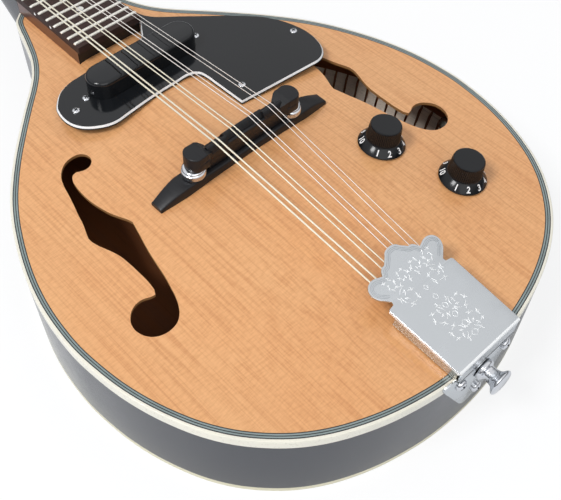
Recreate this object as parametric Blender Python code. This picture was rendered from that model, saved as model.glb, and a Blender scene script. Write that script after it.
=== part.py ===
"""Electric mandolin, A style, lying on its back.

Metres, +Z up. X runs to the treble side and Y to the headstock. The origin is on the
outside of the back, on the centre line, at the end of the scale length.
"""
import math

import bmesh
import bpy
from mathutils import Matrix, Vector

# clearances
GAP = 0.0003
RUNNING = 0.0001
SLOT_PLAY = 0.0004

# body
SOUNDBOARD_WIDTH = 0.2562
PURFLING_WIDTH = 0.0028
BINDING_WIDTH = 0.0014
RIM_DEPTH = 0.054
RIM_THICKNESS = 0.0026
BACK_THICKNESS = 0.003
TOP_THICKNESS = 0.003
ARCH_HEIGHT = 0.0088
ARCH_FULLNESS = 0.45
TOP_BINDING_DEPTH = 0.006
LINING_WIDTH = 0.006
TOP_LINING_DEPTH = 0.0117
BACK_LINING_DEPTH = 0.0137
LINING_EDGE = 0.0037
TAIL_BLOCK_WIDTH = 0.060
TAIL_BLOCK_DEPTH = 0.017
NECK_BLOCK_LENGTH = 0.040
TONE_BAR_SPACING = 0.060
TONE_BAR_WIDTH = 0.006
TONE_BAR_HEIGHT = 0.009
TONE_BAR_LENGTH = 0.170

# neck and fingerboard
SCALE_LENGTH = 0.352
FRET_COUNT = 20
FRET_WIDTH = 0.0022
FRET_HEIGHT = 0.001
BOARD_THICKNESS = 0.0045
BOARD_RISE = 0.0153
BOARD_SLOPE = 0.043
BOARD_OVERHANG = 0.0042
BOARD_END_WIDTH = 0.0428
NUT_WIDTH = 0.0286
NUT_LENGTH = 0.0045
NUT_STEP = 0.0006
RISER_SETBACK = 0.002
NECK_THICKNESS = 0.016
HEEL_FLOOR = 0.004

# headstock and tuning machines
HEADSTOCK_LENGTH = 0.1355
HEADSTOCK_WIDTH = 0.068
HEADSTOCK_THICKNESS = 0.0145
HEADSTOCK_ANGLE = 12.0
TRUSS_ROD_RADIUS = 0.0022
TRUSS_ROD_DROP = 0.0044
TRUSS_COVER_THICKNESS = 0.0016
TUNER_PITCH = 0.023
TUNER_START = 0.030
TUNER_SPREAD = 0.045
TUNER_PLATE_THICKNESS = 0.0012
TUNER_PLATE_WIDTH = 0.017
POST_RADIUS = 0.003
POST_HEIGHT = 0.0125
GEAR_TEETH = 14
GEAR_RADIUS = 0.0053
GEAR_THICKNESS = 0.003
TOOTH_HEIGHT = 0.0008
WORM_RADIUS = 0.0021
WORM_LENGTH = 0.006
WORM_SHAFT_RADIUS = 0.0013
BUTTON_REACH = 0.012
BUTTON_RADIUS = 0.0072
BUTTON_LENGTH = 0.012

# strings
STRING_RADII = (0.00045, 0.00030, 0.00019, 0.00014)
NUT_STRINGS = (0.0113, 0.0093, 0.0045, 0.0024)
SADDLE_STRINGS = (0.0195, 0.01685, 0.0075, 0.0051)
HOOK_STRINGS = (0.0148, 0.0109, 0.0064, 0.0024)
STRING_TURNS = 1

# bridge
BRIDGE_Y = -0.005
BRIDGE_LENGTH = 0.1136
BRIDGE_BASE_WIDTH = 0.011
BRIDGE_BASE_TOP = 0.011
BRIDGE_TOE = 0.0036
BRIDGE_POST_SPACING = 0.0650
BRIDGE_POST_RADIUS = 0.0016
THUMBWHEEL_RADIUS = 0.0062
THUMBWHEEL_THICKNESS = 0.0034
THUMBWHEEL_LIFT = 0.0006
SADDLE_WIDTH = 0.0070
SADDLE_BOSS_WIDTH = 0.012
SADDLE_LENGTH = 0.073
SADDLE_TOP = 0.0268
CROWN_HEIGHT = 0.0036
CROWN_WIDTH = 0.0034

# pickguard, pickup and controls
GUARD_THICKNESS = 0.0018
PICKUP_LENGTH = 0.0704
PICKUP_WIDTH = 0.0180
PICKUP_HEIGHT = 0.0108
PICKUP_WALL = 0.0013
PICKUP_Y = 0.078
VOLUME_PLACE = (0.0570, -0.0495)
TONE_PLACE = (0.0728, -0.0918)
KNOB_SKIRT_RADIUS = 0.0125
KNOB_TOP_RADIUS = 0.0080
KNOB_HEIGHT = 0.015
POT_SHAFT_RADIUS = 0.003
POT_RADIUS = 0.0082
POT_DEPTH = 0.0095
JACK_ANGLE = 86.0
JACK_BORE_RADIUS = 0.00325
JACK_LENGTH = 0.022

# tailpiece
TAILPIECE_WIDTH = 0.0426
TAILPIECE_LENGTH = 0.040
TAILPIECE_METAL = 0.001
TAILPIECE_REAR_RISE = 0.0102
TAILPIECE_FRONT_RISE = 0.0135
HOOK_RISE = 0.0078
BRACKET_DROP = 0.036
BRACKET_HALF_WIDTH = 0.026
END_PIN_RADIUS = 0.0067
END_PIN_LENGTH = 0.0145
END_PIN_DROP = 0.009

# body outline: angle from the tail in degrees, distance from the centre of the lower bout
# as a share of half the soundboard's width
OUTLINE = (
    (0, 0.943), (6, 0.9451), (12, 0.95), (18, 0.9564), (24, 0.9664), (30, 0.9777),
    (36, 0.9899), (42, 0.9999), (48, 1.0055), (54, 1.0088), (60, 1.0078), (66, 1.0038),
    (72, 1.0008), (78, 0.9988), (84, 0.9977), (90, 1.0001), (96, 1.0016), (102, 1.0058),
    (108, 1.0109), (114, 1.0174), (120, 1.0273), (126, 1.042), (132, 1.0593), (138, 1.0781),
    (144, 1.103), (149, 1.1292), (154, 1.164), (158, 1.198), (162, 1.2399), (165, 1.2836),
    (167, 1.3252), (169, 1.3837), (170.7, 1.4553), (172, 1.5207), (172.94, 1.5748),
    (173.71, 1.6116), (174.91, 1.638),
)
OUTLINE_CENTRE = -0.040

# treble f-hole in millimetres, from the tip of its upper eye round the outside
F_HOLE = (
    (65.8, 54.1), (70.1, 53.5), (74.4, 50.7), (77.5, 47.0), (79.7, 41.9), (81.4, 35.5),
    (83.3, 28.5), (85.6, 21.0), (87.7, 13.4), (89.6, 8.4), (90.7, 5.3), (90.7, 2.4),
    (89.7, -1.8), (87.9, -7.2), (86.3, -12.8), (85.6, -19.7), (85.4, -27.3), (85.5, -34.8),
    (86.1, -39.7), (87.5, -42.1), (89.7, -41.6), (92.8, -40.1), (95.8, -39.7), (99.5, -40.6),
    (102.5, -42.9), (104.8, -46.3), (105.5, -50.0), (104.6, -54.4), (101.9, -58.3),
    (98.2, -60.5), (93.9, -61.2), (89.6, -60.4), (86.0, -57.7), (83.2, -53.5), (81.2, -48.7),
    (79.8, -43.8), (78.2, -37.7), (76.5, -29.1), (74.3, -19.2), (72.2, -11.8), (70.9, -6.9),
    (69.7, -2.5), (70.3, 0.1), (72.1, 4.6), (74.1, 9.9), (75.5, 16.4), (76.4, 22.9),
    (76.5, 29.4), (75.9, 35.8), (74.6, 40.9), (72.7, 43.4), (70.3, 44.0), (68.5, 42.9),
    (66.1, 41.9), (63.0, 42.1), (60.6, 43.9), (59.4, 46.4), (59.6, 49.7), (61.0, 52.2),
    (63.4, 53.7),
)

# pickguard outline in millimetres, without the edge along the fingerboard
GUARD = (
    (28.6, 112.6), (31.8, 108.1), (36.7, 103.7), (44.3, 97.5), (51.9, 90.9), (59.4, 84.6),
    (67.0, 78.0), (74.5, 70.4), (80.8, 62.8), (85.2, 54.7), (87.8, 47.1), (89.3, 38.2),
    (88.7, 30.8), (86.5, 23.8), (82.7, 18.8), (78.8, 16.6), (75.1, 15.9), (21.7, 20.0),
    (21.0, 42.0), (20.7, 49.0), (19.7, 52.8), (17.8, 54.7), (15.4, 55.7), (6.6, 55.8),
    (-6.1, 55.6), (-18.6, 54.7), (-28.8, 53.7), (-36.3, 53.1), (-41.3, 54.1), (-46.4, 56.6),
    (-51.3, 60.3), (-54.5, 64.7), (-56.1, 69.8), (-56.1, 76.1), (-54.5, 82.3), (-50.7, 87.4),
    (-45.8, 91.8), (-38.8, 94.7), (-28.8, 95.7), (-18.6, 96.7), (-6.1, 97.5), (6.6, 97.9),
    (13.4, 97.7), (15.6, 99.3), (17.2, 101.9),
)

# half of the headstock in millimetres from the nut, for a width of 68 and a length of 135.5
HEADSTOCK = (
    (14.6, 0.0), (15.6, 6.0), (19.5, 12.0), (26.5, 17.0), (31.5, 22.0), (33.6, 29.0),
    (34.0, 38.0), (33.2, 62.0), (31.8, 90.0), (30.6, 104.0), (31.4, 111.0), (33.2, 117.0),
    (32.4, 123.0), (28.0, 126.6), (21.0, 127.2), (14.0, 128.4), (8.5, 131.4), (3.6, 134.8),
    (0.0, 135.5),
)

# right half of the tailpiece cover's front edge in millimetres, from the centre outwards
COVER_FRONT = (
    (0.0, 21.0), (3.5, 20.2), (5.5, 18.2), (7.0, 17.0), (8.2, 16.0), (9.8, 15.8),
    (11.3, 14.8), (12.6, 12.8), (14.0, 13.2), (16.5, 14.1), (19.5, 14.1), (22.2, 12.7),
    (23.45, 9.5), (22.3, 6.4), (19.5, 3.7), (17.6, 2.0), (18.0, 0.6),
)

MM = 0.001


def clear_scene():
    for item in list(bpy.data.objects):
        bpy.data.objects.remove(item, do_unlink=True)


def finish(name, colour, roughness, metallic=0.0):
    material = bpy.data.materials.new(name)
    material.use_nodes = True
    shader = material.node_tree.nodes["Principled BSDF"]
    shader.inputs["Base Color"].default_value = (*colour, 1.0)
    shader.inputs["Roughness"].default_value = roughness
    shader.inputs["Metallic"].default_value = metallic
    material.diffuse_color = (*colour, 1.0)
    return material


def add_node(bm, name, colour, roughness, metallic=0.0, smooth=False, parent=None):
    bmesh.ops.remove_doubles(bm, verts=bm.verts, dist=0.000005)
    bmesh.ops.recalc_face_normals(bm, faces=bm.faces)
    for face in bm.faces:
        face.smooth = smooth
    mesh = bpy.data.meshes.new(name)
    bm.to_mesh(mesh)
    bm.free()
    node = bpy.data.objects.new(name, mesh)
    bpy.context.scene.collection.objects.link(node)
    mesh.materials.append(finish(name + "_finish", colour, roughness, metallic))
    return node


def combine(node, tool_bm, operation="DIFFERENCE"):
    """Cut the tool out of the node, or join it on, and take the result as the mesh."""
    bmesh.ops.recalc_face_normals(tool_bm, faces=tool_bm.faces)
    tool_mesh = bpy.data.meshes.new("tool")
    tool_bm.to_mesh(tool_mesh)
    tool_bm.free()
    tool = bpy.data.objects.new("tool", tool_mesh)
    bpy.context.scene.collection.objects.link(tool)
    step = node.modifiers.new("combine", "BOOLEAN")
    step.operation = operation
    step.solver = "EXACT"
    step.object = tool
    depsgraph = bpy.context.evaluated_depsgraph_get()
    result = bpy.data.meshes.new_from_object(node.evaluated_get(depsgraph))
    node.modifiers.clear()
    old = node.data
    node.data = result
    bpy.data.meshes.remove(old)
    bpy.data.objects.remove(tool, do_unlink=True)
    return node


def gather(shapes):
    """Put several separate shapes into one mesh."""
    whole = bmesh.new()
    for shape in shapes:
        mesh = bpy.data.meshes.new("shape")
        shape.to_mesh(mesh)
        shape.free()
        whole.from_mesh(mesh)
        bpy.data.meshes.remove(mesh)
    return whole


def loft(sections, closed=False, caps=True):
    """Join equal rings of points into one skin, with flat ends where it isn't closed."""
    bm = bmesh.new()
    rings = [[bm.verts.new(point) for point in section] for section in sections]
    count = len(rings[0])
    pairs = list(zip(rings[:-1], rings[1:]))
    if closed:
        pairs.append((rings[-1], rings[0]))
    for first, second in pairs:
        for i in range(count):
            j = (i + 1) % count
            bm.faces.new((first[i], first[j], second[j], second[i]))
    if caps and not closed:
        bm.faces.new(rings[0])
        bm.faces.new(list(reversed(rings[-1])))
    return bm


def prism(outline, low, high):
    lower = [(x, y, low) for x, y in outline]
    upper = [(x, y, high) for x, y in outline]
    return loft((lower, upper))


def box(low, high):
    return prism(((low[0], low[1]), (high[0], low[1]), (high[0], high[1]), (low[0], high[1])),
                 low[2], high[2])


def lathe(profile, steps, frame=Matrix.Identity(4)):
    """Turn a profile of radius and height pairs about Z; its ends lie on the axis."""
    bm = bmesh.new()
    start = bm.verts.new(frame @ Vector((0, 0, profile[0][1])))
    end = bm.verts.new(frame @ Vector((0, 0, profile[-1][1])))
    rings = []
    for radius, height in profile[1:-1]:
        ring = []
        for k in range(steps):
            angle = 2 * math.pi * k / steps
            ring.append(bm.verts.new(frame @ Vector((radius * math.cos(angle),
                                                     radius * math.sin(angle), height))))
        rings.append(ring)
    for k in range(steps):
        after = (k + 1) % steps
        bm.faces.new((start, rings[0][after], rings[0][k]))
        bm.faces.new((end, rings[-1][k], rings[-1][after]))
        for first, second in zip(rings[:-1], rings[1:]):
            bm.faces.new((first[k], first[after], second[after], second[k]))
    return bm


def tube(radius, hole, low, high, steps, frame=Matrix.Identity(4)):
    """A straight sleeve along Z."""
    sections = []
    for k in range(steps):
        angle = 2 * math.pi * k / steps
        across = Vector((math.cos(angle), math.sin(angle), 0))
        corners = ((hole, low), (radius, low), (radius, high), (hole, high))
        sections.append([frame @ (across * r + Vector((0, 0, h))) for r, h in corners])
    return loft(sections, closed=True)


def wire(points, radius, sides=6):
    """A round wire through a list of points."""
    points = [Vector(point) for point in points]
    sections = []
    up = Vector((0, 0, 1))
    for i, point in enumerate(points):
        before = points[max(i - 1, 0)]
        after = points[min(i + 1, len(points) - 1)]
        along = (after - before).normalized()
        across = along.cross(up).normalized()
        over = across.cross(along).normalized()
        ring = []
        for k in range(sides):
            angle = 2 * math.pi * k / sides
            ring.append(point + radius * (math.cos(angle) * across + math.sin(angle) * over))
        sections.append(ring)
    return loft(sections)


def pill(length, width, steps=7):
    """A straight-sided outline with half-round ends, along X."""
    radius = width / 2
    reach = length / 2 - radius
    points = []
    for k in range(steps + 1):
        angle = -math.pi / 2 + math.pi * k / steps
        points.append((reach + radius * math.cos(angle), radius * math.sin(angle)))
    points += [(-x, -y) for x, y in points]
    return points


def moved(outline, dx=0.0, dy=0.0):
    return [(x + dx, y + dy) for x, y in outline]


# lines of the body
def rim_side():
    half = SOUNDBOARD_WIDTH / 2
    points = []
    for degrees, share in OUTLINE:
        angle = math.radians(degrees)
        points.append((half * share * math.sin(angle),
                       OUTLINE_CENTRE - half * share * math.cos(angle)))
    return points


def body_outline(offset=0.0):
    """The body's plan, moved outwards; it starts at the tail and runs up the treble side."""
    treble = rim_side()
    points = treble + [(-x, y) for x, y in reversed(treble[1:])]
    moved_points = []
    count = len(points)
    for i, point in enumerate(points):
        here = Vector(point)
        first = (here - Vector(points[i - 1])).normalized()
        second = (Vector(points[(i + 1) % count]) - here).normalized()
        out_a = Vector((first.y, -first.x))
        out_b = Vector((second.y, -second.x))
        shift = (out_a + out_b) / (1.0 + out_a.dot(out_b))
        moved_points.append(tuple(here + shift * offset))
    return moved_points


def edge_radius(angle):
    """Distance from the outline's centre to the soundboard's edge, at an angle from the tail."""
    degrees = math.degrees(abs(angle))
    neck_y = rim_side()[-1][1] - OUTLINE_CENTRE
    if degrees >= OUTLINE[-1][0]:
        return neck_y / -math.cos(angle)
    for (a, first), (b, second) in zip(OUTLINE[:-1], OUTLINE[1:]):
        if a <= degrees <= b:
            share = first + (second - first) * (degrees - a) / (b - a)
            return share * SOUNDBOARD_WIDTH / 2
    return SOUNDBOARD_WIDTH / 2


def arch_share(t, angle):
    """Share of the arch's height at a share of the way out; fuller towards the neck."""
    power = 1.0 - ARCH_FULLNESS * ((1.0 - math.cos(angle)) / 2) ** 2
    return (math.cos(math.pi / 2 * min(1.0, t)) ** 2) ** power


def top_height(x, y):
    """Height of the arched soundboard's outside."""
    angle = math.atan2(x, -(y - OUTLINE_CENTRE))
    t = math.hypot(x, y - OUTLINE_CENTRE) / edge_radius(angle)
    return RIM_DEPTH + ARCH_HEIGHT * arch_share(t, angle)


def top_frame(x, y):
    """A frame on the soundboard with its Z along the surface's normal."""
    d = 0.004
    slope_x = (top_height(x + d, y) - top_height(x - d, y)) / (2 * d)
    slope_y = (top_height(x, y + d) - top_height(x, y - d)) / (2 * d)
    normal = Vector((-slope_x, -slope_y, 1)).normalized()
    along = Vector((0, 1, 0))
    across = along.cross(normal).normalized()
    along = normal.cross(across)
    frame = Matrix((across, along, normal)).transposed().to_4x4()
    frame.translation = (x, y, top_height(x, y))
    return frame


EDGE = PURFLING_WIDTH + BINDING_WIDTH
TAIL_Y = OUTLINE_CENTRE - OUTLINE[0][1] * SOUNDBOARD_WIDTH / 2 - EDGE
NECK_Y = rim_side()[-1][1] + EDGE
RIM_INSIDE = EDGE - RIM_THICKNESS
GUARD_SCALE = SOUNDBOARD_WIDTH / 0.2562
PICKUP_LINE = PICKUP_Y * GUARD_SCALE
RIM_FLOOR = BACK_THICKNESS + GAP
RIM_SEAT = RIM_DEPTH - TOP_THICKNESS - GAP


def ring(section):
    """A band that follows the whole body outline, from pairs of offset and height."""
    loops = [[(x, y, height) for x, y in body_outline(offset)] for offset, height in section]
    return loft(list(zip(*loops)), closed=True)


def strip(section, chosen):
    """A band that follows part of the body outline, with closed ends."""
    loops = [[(x, y, height) for x, y in body_outline(offset)] for offset, height in section]
    sections = list(zip(*loops))
    return loft([sections[i] for i in chosen])


def f_hole_cut(side):
    outline = [(side * x * MM * GUARD_SCALE, y * MM * GUARD_SCALE) for x, y in F_HOLE]
    return prism(outline, RIM_DEPTH - 2 * TOP_THICKNESS, RIM_DEPTH + 2 * ARCH_HEIGHT)


def build_soundboard():
    edge = body_outline(-GAP / 2)
    shares = (0.22, 0.42, 0.6, 0.76, 0.9, 1.0)
    bm = bmesh.new()
    faces = []
    for level in (0.0, -TOP_THICKNESS):
        centre = bm.verts.new((0, OUTLINE_CENTRE, RIM_DEPTH + ARCH_HEIGHT + level))
        rings = []
        for t in shares:
            ring_points = []
            for x, y in edge:
                angle = math.atan2(x, -(y - OUTLINE_CENTRE))
                height = RIM_DEPTH + ARCH_HEIGHT * arch_share(t, angle) + level
                ring_points.append(bm.verts.new((x * t, OUTLINE_CENTRE + (y - OUTLINE_CENTRE) * t,
                                                 height)))
            rings.append(ring_points)
        count = len(edge)
        for i in range(count):
            j = (i + 1) % count
            bm.faces.new((centre, rings[0][i], rings[0][j]))
            for inner, outer in zip(rings[:-1], rings[1:]):
                bm.faces.new((inner[i], outer[i], outer[j], inner[j]))
        faces.append(rings[-1])
    for i in range(len(edge)):
        j = (i + 1) % len(edge)
        bm.faces.new((faces[0][i], faces[1][i], faces[1][j], faces[0][j]))
    node = add_node(bm, "soundboard", (0.78, 0.52, 0.29), 0.3)
    combine(node, f_hole_cut(1))
    combine(node, f_hole_cut(-1))
    for place in (VOLUME_PLACE, TONE_PLACE):
        hole = POT_SHAFT_RADIUS + 0.0012
        cut = lathe(((0, -0.009), (hole, -0.009), (hole, 0.009), (0, 0.009)), 16,
                    top_frame(*place))
        combine(node, cut)
    return node


def pin_cut(radius):
    """A hole along Y through the tail, for the end pin's shank."""
    frame = Matrix.Translation((0, TAIL_Y, RIM_DEPTH - END_PIN_DROP))
    frame = frame @ Matrix.Rotation(math.radians(90), 4, "X")
    return lathe(((0, -0.03), (radius, -0.03), (radius, 0.01), (0, 0.01)), 16, frame)


def jack_frame():
    """A frame on the rim with its Z along the way out of the output socket."""
    angle = math.radians(JACK_ANGLE)
    points = body_outline(EDGE)
    best = min(range(len(points) // 2), key=lambda i: abs(
        math.atan2(points[i][0], -(points[i][1] - OUTLINE_CENTRE)) - angle))
    before, after = Vector(points[best]), Vector(points[best + 1])
    along = (after - before).normalized()
    out = Vector((along.y, -along.x, 0))
    up = Vector((0, 0, 1))
    frame = Matrix((up.cross(out), up, out)).transposed().to_4x4()
    middle = (before + after) / 2
    frame.translation = (middle.x, middle.y, RIM_DEPTH / 2)
    return frame


def build_body():
    back = add_node(prism(body_outline(PURFLING_WIDTH - GAP / 2), 0.0, BACK_THICKNESS),
                    "back_plate", (0.06, 0.06, 0.065), 0.25)
    step = PURFLING_WIDTH - GAP
    rim_top = RIM_DEPTH - TOP_BINDING_DEPTH - GAP
    rim = add_node(ring(((RIM_INSIDE, RIM_FLOOR), (EDGE, RIM_FLOOR), (EDGE, rim_top),
                         (step, rim_top), (step, RIM_SEAT), (RIM_INSIDE, RIM_SEAT))),
                   "rim", (0.12, 0.12, 0.13), 0.25)
    combine(rim, pin_cut(0.0026))
    bore = JACK_BORE_RADIUS + 0.0021
    combine(rim, lathe(((0, -0.01), (bore, -0.01), (bore, 0.01), (0, 0.01)), 16, jack_frame()))
    build_soundboard()
    inner = PURFLING_WIDTH + GAP / 2
    add_node(ring(((inner, RIM_DEPTH - TOP_BINDING_DEPTH), (EDGE, RIM_DEPTH - TOP_BINDING_DEPTH),
                   (EDGE, RIM_DEPTH), (inner, RIM_DEPTH))),
             "top_binding", (0.9, 0.88, 0.74), 0.3)
    add_node(ring(((GAP / 2, RIM_DEPTH - TOP_THICKNESS),
                   (PURFLING_WIDTH - GAP / 2, RIM_DEPTH - TOP_THICKNESS),
                   (PURFLING_WIDTH - GAP / 2, RIM_DEPTH), (GAP / 2, RIM_DEPTH))),
             "top_purfling", (0.13, 0.17, 0.2), 0.3)
    add_node(ring(((inner, 0.0), (EDGE, 0.0), (EDGE, BACK_THICKNESS), (inner, BACK_THICKNESS))),
             "back_binding", (0.9, 0.88, 0.72), 0.3)
    build_inside()


def build_inside():
    outer = RIM_INSIDE - GAP
    inner = outer - LINING_WIDTH
    points = body_outline(outer)
    block_y = NECK_Y - EDGE - NECK_BLOCK_LENGTH
    count = len(points)
    half = (count + 1) // 2
    open_side = [i for i in range(half) if points[i][1] < block_y - 0.001]
    chosen = [count - i for i in reversed(open_side[1:])] + open_side
    wood = (0.62, 0.47, 0.33)
    section = ((outer, RIM_SEAT), (inner, RIM_SEAT), (inner, RIM_SEAT - LINING_EDGE),
               (outer, RIM_SEAT - TOP_LINING_DEPTH))
    combine(add_node(strip(section, chosen), "top_lining", wood, 0.7), pin_cut(0.0026))
    add_node(strip(((outer, RIM_FLOOR), (inner, RIM_FLOOR), (inner, RIM_FLOOR + LINING_EDGE),
                    (outer, RIM_FLOOR + BACK_LINING_DEPTH)), chosen), "back_lining", wood, 0.7)
    head = [p for p in points if p[1] > block_y]
    wide = head[0][0] + (points[points.index(head[0]) - 1][0] - head[0][0]) * 0.5
    block = [(-wide, block_y), (wide, block_y)] + head
    add_node(prism(block, RIM_FLOOR, RIM_SEAT - GAP), "neck_block", wood, 0.7)
    slack = 0.0006
    deep = outer - TAIL_BLOCK_DEPTH
    low, high = RIM_FLOOR, RIM_SEAT - GAP
    notch = inner - GAP
    section = ((outer, low + BACK_LINING_DEPTH + slack), (notch, low + LINING_EDGE + slack),
               (notch, low), (deep, low), (deep, high), (notch, high),
               (notch, RIM_SEAT - LINING_EDGE - slack),
               (outer, RIM_SEAT - TOP_LINING_DEPTH - slack))
    tail = [i for i in range(half // 2) if points[i][0] <= TAIL_BLOCK_WIDTH / 2]
    chosen = [count - i for i in reversed(tail[1:])] + tail
    block = add_node(strip(section, chosen), "tail_block", wood, 0.7)
    combine(block, pin_cut(0.0026))
    build_tone_bars()


def build_tone_bars():
    for name, side in (("tone_bar_bass", -1), ("tone_bar_treble", 1)):
        sections = []
        stations = 9
        for k in range(stations):
            share = k / (stations - 1)
            y = -0.095 + TONE_BAR_LENGTH * share
            deep = TONE_BAR_HEIGHT * (0.4 + 0.6 * math.sin(math.pi * share) ** 0.5)
            middle = side * TONE_BAR_SPACING / 2
            row = []
            for dx in (-TONE_BAR_WIDTH / 2, TONE_BAR_WIDTH / 2):
                row.append((middle + dx, y, top_height(middle + dx, y) - TOP_THICKNESS - 0.0005))
            base = min(row[0][2], row[1][2]) - deep
            sections.append((row[0], row[1], (row[1][0], y, base), (row[0][0], y, base)))
        add_node(loft(sections), name, (0.72, 0.55, 0.36), 0.7)


# lines of the neck
def fret_y(n):
    return SCALE_LENGTH * 2 ** (-n / 12)


BOARD_END = fret_y(FRET_COUNT) - BOARD_OVERHANG
HEAD_Y = SCALE_LENGTH + NUT_LENGTH + GAP


def board_top(y):
    return RIM_DEPTH + BOARD_RISE - BOARD_SLOPE * (y - fret_y(FRET_COUNT))


def neck_top(y):
    return board_top(y) - BOARD_THICKNESS - GAP


def board_half_width(y):
    last = fret_y(FRET_COUNT)
    share = (y - last) / (SCALE_LENGTH - last)
    return (BOARD_END_WIDTH + (NUT_WIDTH - BOARD_END_WIDTH) * share) / 2


def build_fretboard():
    points = [(BOARD_END, board_top(BOARD_END) - BOARD_THICKNESS), (BOARD_END, board_top(BOARD_END))]
    for n in range(FRET_COUNT, 0, -1):
        y = fret_y(n)
        half = FRET_WIDTH / 2
        for dy, dz in ((-half, 0), (-half * 0.6, FRET_HEIGHT * 0.8), (0, FRET_HEIGHT),
                       (half * 0.6, FRET_HEIGHT * 0.8), (half, 0)):
            points.append((y + dy, board_top(y + dy) + dz))
    end = SCALE_LENGTH - GAP
    points += [(end, board_top(end)), (end, board_top(end) - BOARD_THICKNESS)]
    left = [(-board_half_width(y), y, z) for y, z in points]
    right = [(board_half_width(y), y, z) for y, z in points]
    add_node(loft((left, right)), "fretboard", (0.13, 0.07, 0.055), 0.45)
    nut_end = SCALE_LENGTH + NUT_LENGTH
    top = board_top(SCALE_LENGTH) + NUT_STEP
    base = neck_top(SCALE_LENGTH) + GAP
    wide = board_half_width(SCALE_LENGTH)
    sections = []
    for x in (-wide, wide):
        sections.append(((x, SCALE_LENGTH, base), (x, SCALE_LENGTH, top),
                         (x, nut_end - 0.001, top - 0.0006), (x, nut_end, top - 0.0016),
                         (x, nut_end, base)))
    add_node(loft(sections), "nut", (0.92, 0.9, 0.84), 0.4)


def build_riser():
    start = BOARD_END + RISER_SETBACK
    end = NECK_Y
    sections = []
    stations = 8
    for k in range(stations):
        y = start + (end - start) * k / (stations - 1)
        half = board_half_width(y)
        row_top = neck_top(y)
        low = [(side * half * s, y, top_height(half * s, y) + GAP)
               for side, s in ((-1, 1.0), (-1, 0.5), (1, 0.0), (1, 0.5), (1, 1.0))]
        sections.append(low + [(half, y, row_top), (-half, y, row_top)])
    add_node(loft(sections), "riser", (0.30, 0.13, 0.05), 0.35)


def neck_section(y, top, half, depth, steps=12):
    points = []
    for k in range(steps + 1):
        angle = math.pi * k / steps
        points.append((half * math.cos(angle), y, top - 0.001 - (depth - 0.001) * math.sin(angle) ** 0.85))
    return [(half, y, top)] + points[0:] + [(-half, y, top)]


def head_frame():
    """A frame at the nut with X across, Y up the headstock and Z out of its face."""
    tilt = math.atan(BOARD_SLOPE) + math.radians(HEADSTOCK_ANGLE)
    frame = Matrix.Rotation(-tilt, 4, "X")
    frame.translation = (0, HEAD_Y, neck_top(HEAD_Y))
    return frame


def in_head(bm):
    bmesh.ops.transform(bm, matrix=head_frame(), verts=bm.verts)
    return bm


def tuner_places():
    """Name, side, place across and place up the headstock of each tuning machine."""
    places = []
    for side, word in ((-1, "bass"), (1, "treble")):
        for k in range(4):
            places.append((f"{word}_{k + 1}", side, side * TUNER_SPREAD / 2,
                           TUNER_START + k * TUNER_PITCH))
    return places


def build_neck():
    heel = NECK_Y + GAP
    full = neck_top(heel) - HEEL_FLOOR
    run = ((0.0, 1.0), (0.010, 0.93), (0.019, 0.74), (0.028, 0.52), (0.038, 0.37), (0.050, 0.30))
    sections = []
    for along, share in run:
        y = heel + along
        sections.append(neck_section(y, neck_top(y), board_half_width(y), full * share))
    for share in (0.25, 0.5, 0.75, 0.97):
        y = heel + 0.050 + (SCALE_LENGTH - heel - 0.050) * share
        depth = NECK_THICKNESS * (1.0 - 0.08 * share)
        sections.append(neck_section(y, neck_top(y), board_half_width(y), depth))
    y = HEAD_Y
    sections.append(neck_section(y, neck_top(y), board_half_width(y), HEADSTOCK_THICKNESS * 1.02))
    sections.append(neck_section(y + 0.0008, neck_top(y) - 0.0008 * 0.3, board_half_width(y),
                                 HEADSTOCK_THICKNESS * 0.95))
    neck = add_node(loft(sections), "neck", (0.07, 0.07, 0.075), 0.2)
    across = HEADSTOCK_WIDTH / 0.068 * MM
    up = HEADSTOCK_LENGTH / 0.1355 * MM
    right = [(max(x * across, NUT_WIDTH / 2 if y < 1 else 0.0), y * up) for x, y in HEADSTOCK]
    outline = right + [(-x, y) for x, y in reversed(right[:-1])]
    combine(neck, in_head(prism(outline, -HEADSTOCK_THICKNESS, 0.0)), "UNION")
    hole = POST_RADIUS + SLOT_PLAY
    cuts = [lathe(((0, -0.03), (hole, -0.03), (hole, 0.01), (0, 0.01)), 12,
                  head_frame() @ Matrix.Translation((x, u, 0))) for name, side, x, u in tuner_places()]
    combine(neck, gather(cuts))
    slot = TRUSS_ROD_RADIUS + SLOT_PLAY
    start = heel + 0.012
    end = HEAD_Y + 0.020
    deep = TRUSS_ROD_DROP + TRUSS_ROD_RADIUS + SLOT_PLAY
    sections = [((-slot, y, neck_top(y) + 0.002), (slot, y, neck_top(y) + 0.002),
                 (slot, y, neck_top(y) - deep), (-slot, y, neck_top(y) - deep))
                for y in (start, end)]
    combine(neck, loft(sections))
    points = [(0, y, neck_top(y) - TRUSS_ROD_DROP) for y in (start + 0.002, HEAD_Y + 0.008)]
    add_node(wire(points, TRUSS_ROD_RADIUS, 10), "truss_rod", (0.5, 0.5, 0.52), 0.4, 1.0)
    bell = [(0.0105, 0.003), (0.0105, 0.009), (0.009, 0.014), (0.0068, 0.019), (0.0052, 0.025),
            (0.0030, 0.029), (-0.0030, 0.029), (-0.0052, 0.025), (-0.0068, 0.019),
            (-0.009, 0.014), (-0.0105, 0.009), (-0.0105, 0.003)]
    add_node(in_head(prism(bell, GAP, GAP + TRUSS_COVER_THICKNESS)), "truss_rod_cover",
             (0.03, 0.03, 0.03), 0.25)


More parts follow.
